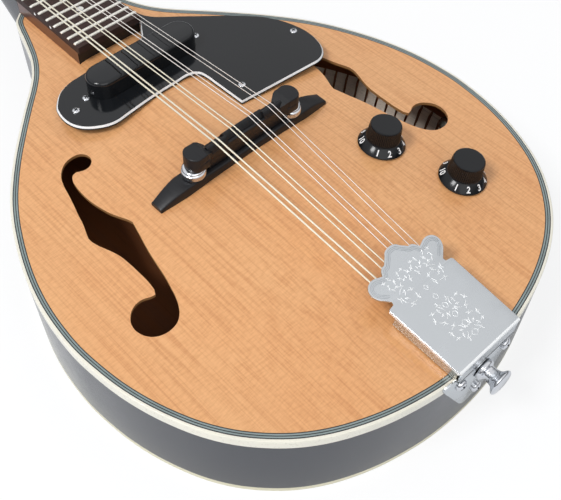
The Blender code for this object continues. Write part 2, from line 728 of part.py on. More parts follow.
# tuning machines
PLATE_TOP = -HEADSTOCK_THICKNESS - GAP
PLATE_BASE = PLATE_TOP - TUNER_PLATE_THICKNESS
GEAR_TOP = PLATE_BASE - max(SLOT_PLAY, WORM_RADIUS + TOOTH_HEIGHT / 2 + GAP - GEAR_THICKNESS / 2)
GEAR_MIDDLE = GEAR_TOP - GEAR_THICKNESS / 2
WORM_PITCH = 2 * math.pi * GEAR_RADIUS / GEAR_TEETH
WORM_OFFSET = GEAR_RADIUS + WORM_RADIUS + SLOT_PLAY / 2


def build_tuner_plate(name, side):
    half = TUNER_PLATE_WIDTH / 2
    x0 = side * TUNER_SPREAD / 2
    low = TUNER_START - 0.008
    high = TUNER_START + 3 * TUNER_PITCH + WORM_OFFSET + 0.0055
    outline = [(x0 - half, low + 0.002), (x0 - half + 0.002, low), (x0 + half - 0.002, low),
               (x0 + half, low + 0.002), (x0 + half, high - 0.002), (x0 + half - 0.002, high),
               (x0 - half + 0.002, high), (x0 - half, high - 0.002)]
    plate = add_node(in_head(prism(outline, PLATE_BASE, PLATE_TOP)), name, (0.8, 0.8, 0.82),
                     0.15, 1.0)
    lug_in = WORM_LENGTH / 2 + 0.0003
    bore = WORM_SHAFT_RADIUS + RUNNING
    reach = WORM_RADIUS + 0.0009
    hole = POST_RADIUS + SLOT_PLAY
    lugs = []
    cuts = []
    for k in range(4):
        u = TUNER_START + k * TUNER_PITCH
        cuts.append(lathe(((0, -0.03), (hole, -0.03), (hole, 0), (0, 0)), 12,
                          head_frame() @ Matrix.Translation((x0, u, 0))))
        for way in (-1, 1):
            near = x0 + way * lug_in
            far = x0 + way * (lug_in + 0.0015)
            lugs.append(in_head(box((min(near, far), u + WORM_OFFSET - reach, GEAR_MIDDLE - reach),
                                    (max(near, far), u + WORM_OFFSET + reach,
                                     PLATE_BASE + 0.0005))))
        frame = head_frame() @ Matrix.Translation((x0, u + WORM_OFFSET, GEAR_MIDDLE))
        frame = frame @ Matrix.Rotation(math.radians(90), 4, "Y")
        cuts.append(lathe(((0, -0.007), (bore, -0.007), (bore, 0.007), (0, 0.007)), 12, frame))
    combine(plate, gather(lugs), "UNION")
    return combine(plate, gather(cuts))


def build_post(name, x, u):
    """A string post with its gear wheel, teeth leaning with the worm's thread."""
    frame = head_frame() @ Matrix.Translation((x, u, 0))
    root = GEAR_RADIUS - TOOTH_HEIGHT / 2
    tip = GEAR_RADIUS + TOOTH_HEIGHT / 2
    lead = math.atan(WORM_PITCH / (2 * math.pi * WORM_RADIUS))
    lean = GEAR_THICKNESS * math.tan(lead) / GEAR_RADIUS
    step = 2 * math.pi / GEAR_TEETH
    sections = []
    for level, twist in ((GEAR_TOP - GEAR_THICKNESS, lean / 2), (GEAR_TOP, -lean / 2)):
        row = []
        for k in range(GEAR_TEETH):
            middle = math.pi / 2 + k * step + twist
            for shift, radius in ((-0.27, root), (-0.13, tip), (0.13, tip), (0.27, root)):
                angle = middle + shift * step
                row.append(frame @ Vector((radius * math.cos(angle), radius * math.sin(angle),
                                           level)))
        sections.append(row)
    post = add_node(loft(sections), "tuner_post_" + name, (0.82, 0.82, 0.84), 0.15, 1.0)
    waist = POST_RADIUS * 0.86
    top = POST_HEIGHT
    profile = ((0, GEAR_TOP - 0.0005), (POST_RADIUS, GEAR_TOP - 0.0005), (POST_RADIUS, 0.004),
               (waist, 0.005), (waist, 0.0095), (POST_RADIUS, 0.0105),
               (POST_RADIUS, top), (0, top))
    return combine(post, lathe(profile, 10, frame), "UNION")


def build_key(name, side, x, u):
    """A worm shaft with its button; the thread is a raised ridge that turns along the shaft."""
    core = WORM_RADIUS - TOOTH_HEIGHT / 2
    crest = WORM_RADIUS + TOOTH_HEIGHT / 2
    frame = head_frame() @ Matrix.Translation((x, u + WORM_OFFSET, GEAR_MIDDLE))
    frame = frame @ Matrix.Rotation(math.radians(90 * side), 4, "Y")
    sides = 10
    sections = []

    def add_ring(height, radius):
        sections.append([frame @ Vector((radius * math.cos(2 * math.pi * k / sides),
                                         radius * math.sin(2 * math.pi * k / sides), height))
                         for k in range(sides)])
    half = WORM_LENGTH / 2
    add_ring(-half - 0.0022, WORM_SHAFT_RADIUS)
    add_ring(-half, WORM_SHAFT_RADIUS)
    steps = int(round(WORM_LENGTH / WORM_PITCH * 6))
    for i in range(steps + 1):
        height = -half + WORM_LENGTH * i / steps
        row = []
        for k in range(sides):
            angle = 2 * math.pi * k / sides
            phase = (height / WORM_PITCH + (angle + math.pi / 2) / (2 * math.pi)) % 1.0
            away = min(phase, 1.0 - phase)
            grow = min(1.0, max(0.0, (0.27 - abs(0.5 - away)) / 0.14))
            radius = core + (crest - core) * grow
            row.append(frame @ Vector((radius * math.cos(angle), radius * math.sin(angle),
                                       height)))
        sections.append(row)
    reach = HEADSTOCK_WIDTH / 2 - TUNER_SPREAD / 2 + BUTTON_REACH
    add_ring(half, WORM_SHAFT_RADIUS)
    add_ring(reach - 0.004, WORM_SHAFT_RADIUS)
    add_ring(reach - 0.003, 0.0032)
    add_ring(reach, 0.0032)
    for along, wide in ((0.05, 0.7), (0.5, 1.0), (1.0, 0.6)):
        height = reach + BUTTON_LENGTH * along
        sections.append([frame @ Vector((0.45 * wide * BUTTON_RADIUS * math.cos(2 * math.pi * k / sides),
                                         wide * BUTTON_RADIUS * math.sin(2 * math.pi * k / sides),
                                         height)) for k in range(sides)])
    return add_node(loft(sections), "tuner_key_" + name, (0.85, 0.83, 0.78), 0.25)


def build_tuners():
    build_tuner_plate("tuner_plate_bass", -1)
    build_tuner_plate("tuner_plate_treble", 1)
    for name, side, x, u in tuner_places():
        build_post(name, x, u)
        build_key(name, side, x, u)


# strings
def string_height_at_saddle():
    return RIM_DEPTH + SADDLE_TOP + GAP


def saddle_shift(k):
    """How far each pair's crown lies towards the headstock, outer pair first."""
    return (-0.0011, -0.0011, 0.0007, 0.0007)[k]


def build_strings():
    hook_y = TAIL_Y + 0.0155
    pairs = ((-1, (0, 0, 1, 1), "g1 g2 d1 d2".split()), (1, (3, 3, 2, 2), "e1 e2 a1 a2".split()))
    for side, gauges, names in pairs:
        for k in range(4):
            radius = STRING_RADII[gauges[k]]
            crown_y = BRIDGE_Y + saddle_shift(k)
            top = board_top(SCALE_LENGTH) + NUT_STEP + GAP + radius
            points = [(side * HOOK_STRINGS[k], hook_y, RIM_DEPTH + HOOK_RISE),
                      (side * SADDLE_STRINGS[k], crown_y, string_height_at_saddle() + radius),
                      (side * NUT_STRINGS[k], SCALE_LENGTH + 0.0008, top)]
            x0 = side * TUNER_SPREAD / 2
            u = TUNER_START + k * TUNER_PITCH
            frame = head_frame() @ Matrix.Translation((x0, u, 0))
            around = POST_RADIUS + GAP / 2 + radius
            level = 0.0055
            turns = 6
            for i in range(STRING_TURNS * turns + 1):
                angle = math.pi if side > 0 else 0.0
                angle -= side * (2 * math.pi * i / turns - 0.35)
                rise = level + (2 * radius + 0.0001) * i / turns
                points.append(frame @ Vector((around * math.cos(angle), around * math.sin(angle),
                                              rise)))
            tone = (0.72, 0.66, 0.52) if radius > 0.00025 else (0.8, 0.8, 0.8)
            add_node(wire(points, radius, 5), "string_" + names[k], tone, 0.3, 1.0)


# bridge
def build_bridge():
    ink = (0.012, 0.012, 0.014)
    half = BRIDGE_LENGTH / 2
    wheel_low = RIM_DEPTH + BRIDGE_BASE_TOP + THUMBWHEEL_LIFT
    wheel_high = wheel_low + THUMBWHEEL_THICKNESS
    flat = 0.72
    sections = []
    for share in (-1.0, -0.93, -0.86, -0.78, -flat, -0.55, -0.28, 0.0,
                  0.28, 0.55, flat, 0.78, 0.86, 0.93, 1.0):
        x = half * share
        away = max(0.0, (abs(share) - flat) / (1 - flat))
        width = BRIDGE_BASE_WIDTH / 2 * (1 - 0.30 * away)
        top = RIM_DEPTH + BRIDGE_BASE_TOP
        end = top_height(half, BRIDGE_Y) + BRIDGE_TOE
        top = top + (end - top) * away ** 0.8
        near, far = BRIDGE_Y - width, BRIDGE_Y + width
        sections.append(((x, near, top_height(x, near) + GAP), (x, far, top_height(x, far) + GAP),
                         (x, far, top), (x, near, top)))
    base = add_node(loft(sections), "bridge_base", ink, 0.35)
    for side in (-1, 1):
        frame = Matrix.Translation((side * BRIDGE_POST_SPACING / 2, BRIDGE_Y, 0))
        low = RIM_DEPTH + BRIDGE_BASE_TOP - 0.001
        high = RIM_DEPTH + SADDLE_TOP - 0.0066
        post = lathe(((0, low), (BRIDGE_POST_RADIUS, low), (BRIDGE_POST_RADIUS, high), (0, high)),
                     14, frame)
        combine(base, post, "UNION")
    hole = BRIDGE_POST_RADIUS + RUNNING
    for name, side in (("thumbwheel_bass", -1), ("thumbwheel_treble", 1)):
        frame = Matrix.Translation((side * BRIDGE_POST_SPACING / 2, BRIDGE_Y, 0))
        wheel = tube(THUMBWHEEL_RADIUS, hole, wheel_low, wheel_high, 28, frame)
        add_node(wheel, name, (0.8, 0.8, 0.82), 0.15, 1.0)
    build_saddle(wheel_high + GAP, ink)


def build_saddle(boss_low, ink):
    """A bar between two round-ended bosses, with a crown that steps for each pair of strings."""
    reach = SADDLE_LENGTH / 2
    radius = SADDLE_BOSS_WIDTH / 2
    waist = SADDLE_WIDTH / 2
    neck_x = reach - SADDLE_BOSS_WIDTH * 0.95
    right = [(neck_x - 0.0015, -waist), (neck_x + 0.0015, -radius), (reach - radius * 0.8, -radius)]
    for k in range(1, 7):
        angle = -math.pi / 2 + math.pi * k / 7
        right.append((reach - radius * 0.8 + radius * 0.8 * math.cos(angle),
                      radius * math.sin(angle)))
    right += [(reach - radius * 0.8, radius), (neck_x + 0.0015, radius), (neck_x - 0.0015, waist)]
    outline = right + [(-x, -y) for x, y in right]
    top = RIM_DEPTH + SADDLE_TOP
    shoulder = top - CROWN_HEIGHT
    saddle = add_node(prism(moved(outline, 0, BRIDGE_Y), boss_low, shoulder),
                      "bridge_saddle", ink, 0.35)
    low = RIM_DEPTH + BRIDGE_BASE_TOP + THUMBWHEEL_LIFT
    inner = BRIDGE_POST_SPACING / 2 - THUMBWHEEL_RADIUS - 0.0012
    combine(saddle, box((-inner, BRIDGE_Y - waist * 0.94, low),
                        (inner, BRIDGE_Y + waist * 0.94, boss_low + 0.001)), "UNION")
    for side in (-1, 1):
        boss = [(x, y) for x, y in right if x > neck_x]
        boss = [(neck_x + 0.0018, -radius + 0.0002)] + boss[1:-1] + [(neck_x + 0.0018, radius - 0.0002)]
        boss = [(side * x, y * 0.985) for x, y in boss]
        combine(saddle, prism(moved(boss, 0, BRIDGE_Y), shoulder - 0.001, top + 0.0006), "UNION")
    build_crown(saddle, shoulder, top, neck_x)
    hole = BRIDGE_POST_RADIUS + RUNNING
    for side in (-1, 1):
        frame = Matrix.Translation((side * BRIDGE_POST_SPACING / 2, BRIDGE_Y, 0))
        cut = lathe(((0, boss_low - 0.002), (hole, boss_low - 0.002), (hole, top - 0.0035),
                     (0, top - 0.0035)), 14, frame)
        combine(saddle, cut)
    return saddle


def build_crown(saddle, shoulder, top, neck_x):
    """Four stepped ridges under the pairs of strings."""
    split = (SADDLE_STRINGS[1] + SADDLE_STRINGS[2]) / 2
    spans = ((-neck_x + 0.0005, -split, saddle_shift(0)), (-split - 0.0004, 0.0004, saddle_shift(2)),
             (-0.0004, split + 0.0004, -saddle_shift(2)), (split, neck_x - 0.0005, -saddle_shift(0)))
    for k, (low_x, high_x, shift) in enumerate(spans):
        middle = BRIDGE_Y + shift
        if k > 1:
            middle = BRIDGE_Y + saddle_shift(3 if k == 2 else 0)
        wide = CROWN_WIDTH / 2
        foot = SADDLE_WIDTH / 2 - abs(middle - BRIDGE_Y) - 0.0003
        foot = max(foot, wide)
        level = top
        sections = []
        for x in (low_x, high_x):
            sections.append(((x, middle - foot, shoulder - 0.001), (x, middle + foot, shoulder - 0.001),
                             (x, middle + wide * 0.5, level - 0.0004), (x, middle, level),
                             (x, middle - wide * 0.5, level - 0.0004)))
        combine(saddle, loft(sections), "UNION")


# pickguard and pickup
def guard_outline():
    edge = board_half_width(BOARD_END + RISER_SETBACK) + SLOT_PLAY
    scaled = [(x * MM * GUARD_SCALE, y * MM * GUARD_SCALE) for x, y in GUARD]
    corner = BOARD_END + RISER_SETBACK - SLOT_PLAY
    scaled += [(edge, corner), (edge, corner + 0.014), (edge + 0.0025, corner + 0.013)]
    return scaled


def guard_floor():
    """The lowest level at which the flat pickguard clears the arched soundboard."""
    outline = guard_outline()
    highest = 0.0
    count = len(outline)
    for i in range(count):
        (x0, y0), (x1, y1) = outline[i], outline[(i + 1) % count]
        for k in range(6):
            x, y = x0 + (x1 - x0) * k / 6, y0 + (y1 - y0) * k / 6
            highest = max(highest, top_height(x, y))
    return highest + GAP


def build_guard():
    low = guard_floor()
    high = low + GUARD_THICKNESS
    guard = add_node(prism(guard_outline(), low, high), "pickguard", (0.02, 0.02, 0.022), 0.2)
    opening = moved(pill(PICKUP_LENGTH + 2 * GAP, PICKUP_WIDTH + 2 * GAP), 0, PICKUP_LINE)
    combine(guard, prism(opening, low - 0.01, high + 0.01))
    base = max(top_height(0, PICKUP_LINE - PICKUP_WIDTH / 2), top_height(0, PICKUP_LINE)) + GAP
    top = high + PICKUP_HEIGHT
    sections = []
    for inset, level in ((0.0, base), (0.0, top - 0.002), (0.0006, top - 0.0006), (0.002, top)):
        outline = moved(pill(PICKUP_LENGTH - 2 * inset, PICKUP_WIDTH - 2 * inset), 0, PICKUP_LINE)
        sections.append([(x, y, level) for x, y in outline])
    cover = add_node(loft(sections), "pickup_cover", (0.015, 0.015, 0.016), 0.15)
    inside = moved(pill(PICKUP_LENGTH - 2 * PICKUP_WALL, PICKUP_WIDTH - 2 * PICKUP_WALL), 0, PICKUP_LINE)
    combine(cover, prism(inside, base - 0.01, top - PICKUP_WALL - 0.0006))
    play = 2 * PICKUP_WALL + 2 * GAP
    sections = []
    floor, roof = base, top - PICKUP_WALL - 0.0006 - GAP
    flange = 0.0012
    for inset, level in ((0, floor), (0, floor + flange), (0.0025, floor + flange),
                         (0.0025, roof - flange), (0, roof - flange), (0, roof)):
        outline = moved(pill(PICKUP_LENGTH - play - 2 * inset, PICKUP_WIDTH - play - 2 * inset),
                        0, PICKUP_LINE)
        sections.append([(x, y, level) for x, y in outline])
    add_node(loft(sections), "pickup_coil", (0.35, 0.16, 0.06), 0.5)


def build_controls():
    for word, place in (("volume", VOLUME_PLACE), ("tone", TONE_PLACE)):
        frame = top_frame(*place)
        shaft = POT_SHAFT_RADIUS
        skirt = KNOB_SKIRT_RADIUS
        head = KNOB_TOP_RADIUS
        tall = KNOB_HEIGHT
        lift = 0.0007
        profile = ((0, -0.007), (shaft, -0.007), (shaft, 0.0042), (shaft + 0.0038, 0.0042),
                   (skirt - 0.0014, lift + 0.0004), (skirt - 0.0003, lift), (skirt, lift + 0.0008),
                   (head + 0.0013, 0.0050), (head + 0.0008, 0.0056), (head, tall - 0.0006),
                   (head - 0.0006, tall), (0, tall))
        add_node(lathe(profile, 24, frame), word + "_knob", (0.015, 0.015, 0.016), 0.2, smooth=True)
        under = -TOP_THICKNESS - GAP - 0.0002
        collar = shaft + 0.0009
        bore = shaft + RUNNING
        profile = ((0, under - POT_DEPTH), (POT_RADIUS, under - POT_DEPTH), (POT_RADIUS, under),
                   (collar, under), (collar, 0.0005), (shaft + 0.0026, 0.0005),
                   (shaft + 0.0026, 0.0022), (collar, 0.0022), (collar, 0.0030), (bore, 0.0030),
                   (bore, -0.0078), (0, -0.0078))
        add_node(lathe(profile, 18, frame), word + "_pot", (0.6, 0.6, 0.62), 0.3, 1.0)
    frame = jack_frame()
    inside = JACK_BORE_RADIUS
    body = inside + 0.0018
    washer = inside + 0.0042
    sections = []
    steps = 24
    rim_clear = GAP
    profile = ((inside, 0.0025), (washer, 0.0025), (washer, rim_clear), (body, rim_clear),
               (body, 0.0025 - JACK_LENGTH), (inside, 0.0025 - JACK_LENGTH))
    for k in range(steps):
        angle = 2 * math.pi * k / steps
        across = Vector((math.cos(angle), math.sin(angle), 0))
        sections.append([frame @ (across * r + Vector((0, 0, h))) for r, h in profile])
    add_node(loft(sections, closed=True), "output_jack", (0.8, 0.8, 0.82), 0.15, 1.0)


# tailpiece
def cover_top(y):
    """Height of the tailpiece cover: a gentle slope that turns up at the front."""
    front = TAIL_Y + TAILPIECE_LENGTH
    slope = (TAILPIECE_FRONT_RISE - TAILPIECE_REAR_RISE) / TAILPIECE_LENGTH
    height = RIM_DEPTH + TAILPIECE_REAR_RISE + slope * (y - TAIL_Y)
    past = y - front
    if past > 0:
        height += 0.24 * past * min(1.0, past / 0.004 * 0.5 + 0.5)
    return height


def bent_plate(outline, thickness, top, bends):
    """A flat plate with a given plan, folded so that its outside follows a height line."""
    bm = prism(outline, -thickness, 0.0)
    for y in bends:
        parts = list(bm.verts) + list(bm.edges) + list(bm.faces)
        bmesh.ops.bisect_plane(bm, geom=parts, plane_co=(0, y, 0), plane_no=(0, 1, 0), dist=1e-6)
    for vert in bm.verts:
        vert.co.z += top(vert.co.y)
    return bm


def build_tailpiece():
    chrome = (0.78, 0.79, 0.82)
    half = TAILPIECE_WIDTH / 2
    metal = TAILPIECE_METAL
    front = TAIL_Y + TAILPIECE_LENGTH
    rear = TAIL_Y - 0.0005
    wide = half / 0.0213 * MM
    right = [(x * wide, front + y * MM) for x, y in COVER_FRONT] + [(half, front), (half * 0.96, rear)]
    outline = right + [(-x, y) for x, y in reversed(right[1:])]
    bends = [front + d for d in (0.0, 0.002, 0.004, 0.012)]
    cover = add_node(bent_plate(outline, metal, cover_top, bends), "tailpiece_cover", chrome, 0.12, 1.0)
    lip = 0.0022
    for side in (-1, 1):
        sections = []
        for y, edge in ((rear + 0.0002, half * 0.96), (front - 0.0002, half * 0.999)):
            top = cover_top(y) - metal * 0.4
            outer, inner = side * (edge - 0.00002), side * (edge - 0.0008)
            sections.append(((outer, y, top), (inner, y, top), (inner, y, top - lip),
                             (outer, y, top - lip)))
        combine(cover, loft(sections), "UNION")
    build_tailpiece_base(half, metal, front, chrome)
    build_end_pin(metal)


def build_tailpiece_base(half, metal, front, chrome):
    """A tray under the cover, with string hooks, and a plate that folds down over the rim."""
    def floor_level(y):
        share = (y - TAIL_Y) / (front - TAIL_Y)
        lift = top_height(0, front) - RIM_DEPTH
        return RIM_DEPTH + GAP + metal + lift * max(0.0, share) * 1.15
    edge = half * 0.96 - 0.0008 - SLOT_PLAY
    face = -GAP
    floor = [(edge, TAIL_Y - GAP - metal), (edge, front - 0.002), (-edge, front - 0.002),
             (-edge, TAIL_Y - GAP - metal)]
    bends = [TAIL_Y + TAILPIECE_LENGTH * s for s in (0.0, 0.25, 0.5, 0.75)]
    base = add_node(bent_plate(floor, metal, floor_level, bends), "tailpiece_base", chrome, 0.12, 1.0)
    for side in (-1, 1):
        sections = []
        for y in (TAIL_Y + 0.0008, front - 0.0024):
            low = floor_level(y) - metal * 0.6
            high = cover_top(y) - metal - SLOT_PLAY
            outer, inner = side * (edge - 0.00001), side * (edge - 0.0009)
            sections.append(((outer, y, low), (inner, y, low), (inner, y, high), (outer, y, high)))
        combine(base, loft(sections), "UNION")
    rim_line = body_outline(EDGE + GAP)
    out_line = body_outline(EDGE + GAP + metal)

    def along(line, x):
        points = sorted((p for p in line if p[1] < OUTLINE_CENTRE), key=lambda p: p[0])
        for (x0, y0), (x1, y1) in zip(points[:-1], points[1:]):
            if x0 <= x <= x1:
                return y0 + (y1 - y0) * (x - x0) / (x1 - x0)
        return points[0][1]
    sections = []
    for share in (-1.0, -0.82, -0.5, -0.27, 0.0, 0.27, 0.5, 0.82, 1.0):
        x = BRACKET_HALF_WIDTH * share
        narrow = abs(share)
        drop = BRACKET_DROP if narrow < 0.28 else BRACKET_DROP * (1 - (narrow - 0.27) / 0.80)
        top = RIM_DEPTH + GAP + metal - (0.0 if narrow < 0.83 else 0.0012)
        inner, outer = along(rim_line, x), along(out_line, x)
        sections.append(((x, inner, top), (x, outer, top), (x, outer, RIM_DEPTH - drop),
                         (x, inner, RIM_DEPTH - drop)))
    combine(base, loft(sections), "UNION")
    hook_y = TAIL_Y + 0.0155
    for side in (-1, 1):
        for x in HOOK_STRINGS:
            low = floor_level(hook_y) - metal * 0.6
            high = RIM_DEPTH + HOOK_RISE + 0.0004
            place = side * x
            hook = box((place - 0.0009, hook_y - 0.0034, low), (place + 0.0009, hook_y - 0.0020, high))
            combine(base, hook, "UNION")
    combine(base, pin_cut(0.0026))


def build_end_pin(metal):
    frame = Matrix.Translation((0, TAIL_Y - 2 * GAP - metal, RIM_DEPTH - END_PIN_DROP))
    frame = frame @ Matrix.Rotation(math.radians(90), 4, "X")
    big = END_PIN_RADIUS
    tall = END_PIN_LENGTH
    profile = ((0, -0.016), (0.0022, -0.016), (0.0022, 0.0), (big * 0.82, 0.0),
               (big * 0.82, 0.0016), (big * 0.55, 0.0028), (big * 0.5, tall * 0.45),
               (big * 0.66, tall * 0.68), (big, tall * 0.86), (big, tall * 0.93),
               (big * 0.7, tall), (0, tall))
    add_node(lathe(profile, 20, frame), "end_pin", (0.8, 0.8, 0.82), 0.12, 1.0, smooth=True)


def main():
    clear_scene()
    build_body()
    build_riser()
    build_fretboard()
    build_neck()
    build_tuners()
    build_bridge()
    build_strings()
    build_guard()
    build_controls()
    build_tailpiece()


main()
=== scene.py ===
"""Looks of an electric A-style mandolin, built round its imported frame.

Metres, +Z up. X runs to the treble side and Y to the headstock.
"""
import logging
import math
from dataclasses import dataclass
from enum import Enum
from math import cos, pi, radians, sin
from typing import Callable, Iterable, Sequence

import bmesh
import bpy
from bmesh.types import BMEdge, BMesh, BMFace, BMVert
from bpy.types import ID, Material, Node, NodeSocket, Object, World
from mathutils import Matrix, Vector


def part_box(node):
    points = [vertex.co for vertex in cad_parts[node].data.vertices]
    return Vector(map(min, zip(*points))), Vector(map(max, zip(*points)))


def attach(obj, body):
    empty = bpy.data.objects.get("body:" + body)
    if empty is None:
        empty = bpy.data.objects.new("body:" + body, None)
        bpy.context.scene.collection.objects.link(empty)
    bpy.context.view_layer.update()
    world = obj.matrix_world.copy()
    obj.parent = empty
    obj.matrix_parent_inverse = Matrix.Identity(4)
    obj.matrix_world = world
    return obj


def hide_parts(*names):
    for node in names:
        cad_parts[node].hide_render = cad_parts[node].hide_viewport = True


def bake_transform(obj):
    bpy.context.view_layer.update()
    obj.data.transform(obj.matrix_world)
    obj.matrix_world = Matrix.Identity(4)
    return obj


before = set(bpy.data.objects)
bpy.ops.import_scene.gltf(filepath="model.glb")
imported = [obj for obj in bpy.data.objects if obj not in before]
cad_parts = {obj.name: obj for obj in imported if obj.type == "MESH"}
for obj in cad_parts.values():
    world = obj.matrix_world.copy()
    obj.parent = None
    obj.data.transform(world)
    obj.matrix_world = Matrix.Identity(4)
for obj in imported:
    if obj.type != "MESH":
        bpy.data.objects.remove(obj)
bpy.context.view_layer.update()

LOG = logging.getLogger("mandolin")
MM = 0.001
TAU = 2 * pi
SEAM = 0.00003
WELD = 0.000002

Point2 = tuple[float, float]
Point3 = tuple[float, float, float]
Rgb = tuple[float, float, float]


class Side(Enum):
    """The two sides of the instrument, by the strings they carry."""

    BASS = -1
    TREBLE = 1


# Finishes
def rgb(red: int, green: int, blue: int) -> Rgb:
    """Turn a colour as a screen shows it into Blender's linear colour.

    Args:
        red: from 0 to 255.
        green: from 0 to 255.
        blue: from 0 to 255.
    Returns:
        The linear colour.
    """
    def linear(value: int) -> float:
        """One channel."""
        share = value / 255
        return share / 12.92 if share <= 0.04045 else ((share + 0.055) / 1.055) ** 2.4
    return linear(red), linear(green), linear(blue)


class Nodes:
    """A short way to wire up the nodes of a material or a world."""

    def __init__(self, holder: Material | World) -> None:
        """Keep the holder's tree and its shader.

        Args:
            holder: the material or world.
        """
        holder.use_nodes = True
        self.tree = holder.node_tree
        self.shader = self.tree.nodes.get("Principled BSDF")

    def set(self, **values: object) -> None:
        """Set inputs of the shader by name, with _ for each space."""
        for name, value in values.items():
            self.shader.inputs[name.replace("_", " ")].default_value = value

    def mix(self, factor: NodeSocket, first: Node, second: Node) -> Node:
        """Mix two shaders.

        Args:
            factor: share of the second shader.
            first: the first shader.
            second: the second shader.
        Returns:
            The node that mixes them.
        """
        node = self.add("MixShader")
        for place, socket in enumerate((factor, first.outputs[0], second.outputs[0])):
            self.link(socket, node.inputs[place])
        return node

    def dress(self, colour: NodeSocket, gloss: NodeSocket) -> None:
        """Give the shader its colour and its roughness."""
        self.link(colour, self.shader.inputs["Base Color"])
        self.link(gloss, self.shader.inputs["Roughness"])

    def add(self, kind: str, **values: object) -> Node:
        """Add a node and set its properties or its inputs.

        Args:
            kind: Blender's name for the node, without its prefix.
            values: properties by name; a name ending in _ is an input's.
        Returns:
            The new node.
        """
        node = self.tree.nodes.new("ShaderNode" + kind)
        for name, value in values.items():
            if name.endswith("_"):
                node.inputs[name[:-1].replace("_", " ")].default_value = value
            else:
                setattr(node, name, value)
        return node

    def link(self, start: NodeSocket, end: NodeSocket) -> None:
        """Join an output to an input."""
        self.tree.links.new(start, end)

    def place(self, scale: Point3) -> NodeSocket:
        """Object coordinates, stretched.

        Args:
            scale: waves per metre along each axis.
        Returns:
            The socket with the coordinates.
        """
        mapping = self.add("Mapping", Scale_=scale)
        self.link(self.add("TexCoord").outputs["Object"], mapping.inputs["Vector"])
        return mapping.outputs["Vector"]

    def noise(self, scale: Point3, detail: float = 3.0, distortion: float = 0.0) -> NodeSocket:
        """Noise over stretched object coordinates.

        Args:
            scale: waves per metre along each axis.
            detail: octaves of finer noise.
            distortion: how far the noise bends itself.
        Returns:
            The socket with the noise, about 0.5 in the middle.
        """
        node = self.add("TexNoise", Scale_=1.0, Detail_=detail, Distortion_=distortion)
        self.link(self.place(scale), node.inputs["Vector"])
        return node.outputs["Fac"]

    def ramp(self, source: NodeSocket, stops: Sequence[tuple[float, Rgb]]) -> NodeSocket:
        """Colours along a value.

        Args:
            source: the value.
            stops: places and colours in rising order.
        Returns:
            The socket with the colour.
        """
        node = self.add("ValToRGB")
        strip = node.color_ramp.elements
        while len(strip) < len(stops):
            strip.new(0.5)
        for element, (place, colour) in zip(strip, stops):
            element.position = place
            element.color = (*colour, 1.0)
        self.link(source, node.inputs["Fac"])
        return node.outputs["Color"]

    def span(self, source: NodeSocket, low: float, high: float,
             start: float = 0.3, end: float = 0.7) -> NodeSocket:
        """Stretch a value from one range to another.

        Args:
            source: the value.
            low: result at the start.
            high: result at the end.
            start: value that gives low.
            end: value that gives high.
        Returns:
            The socket with the result.
        """
        node = self.add("MapRange")
        for name, value in (("From Min", start), ("From Max", end), ("To Min", low), ("To Max", high)):
            node.inputs[name].default_value = value
        self.link(source, node.inputs["Value"])
        return node.outputs["Result"]

    def blend(self, share: float, first: NodeSocket, second: NodeSocket, kind: str = "MIX") -> NodeSocket:
        """Mix two colours.

        Args:
            share: share of the second colour.
            first: the first colour.
            second: the second colour.
            kind: Blender's name for the way of mixing.
        Returns:
            The socket with the mixed colour.
        """
        node = self.add("Mix", data_type="RGBA", blend_type=kind)
        node.inputs[0].default_value = share
        self.link(first, node.inputs[6])
        self.link(second, node.inputs[7])
        return node.outputs[2]

    def bump(self, height: NodeSocket, strength: float, distance: float) -> None:
        """Press a height into the shader's normal.

        Args:
            height: the height, from 0 to 1.
            strength: share of the effect.
            distance: depth of the relief in metres.
        """
        node = self.add("Bump", Strength_=strength, Distance_=distance)
        self.link(height, node.inputs["Height"])
        self.link(node.outputs["Normal"], self.shader.inputs["Normal"])


@dataclass(frozen=True)
class Finish:
    """A plain finish: one colour with faint mottling, and small changes of gloss."""

    name: str
    colour: Rgb
    roughness: float
    metallic: float = 0.0
    coat: float = 0.0
    mottle: float = 0.06
    fine: float = 900.0
    relief: float = 0.00001
    specular: float = 0.5

    def material(self) -> Material:
        """Give the finish's material, made once.

        Returns:
            The material.
        """
        made = bpy.data.materials.get(self.name)
        if made is None:
            made = bpy.data.materials.new(self.name)
            made.diffuse_color = (*self.colour, 1.0)
            self.wire(Nodes(made))
        return made

    def shade(self, share: float) -> Rgb:
        """The finish's colour, made lighter or darker."""
        return tuple(min(1.0, part * share) for part in self.colour)

    def wire(self, nodes: Nodes) -> None:
        """Wire the colour, gloss and relief.

        Args:
            nodes: the material's nodes.
        """
        self.plain(nodes)
        cloud = nodes.noise((self.fine / 15,) * 3, 4.0)
        colour = nodes.ramp(cloud, ((0.3, self.shade(1 - self.mottle)), (0.7, self.shade(1 + self.mottle))))
        grain = nodes.noise((self.fine,) * 3, 2.0)
        nodes.dress(colour, nodes.span(grain, self.roughness * 0.85, self.roughness * 1.2))
        nodes.bump(grain, 0.3, self.relief)

    def plain(self, nodes: Nodes) -> None:
        """Set what is the same all over the surface."""
        nodes.set(Metallic=self.metallic, Coat_Weight=self.coat, Coat_Roughness=0.05,
                  Specular_IOR_Level=self.specular)


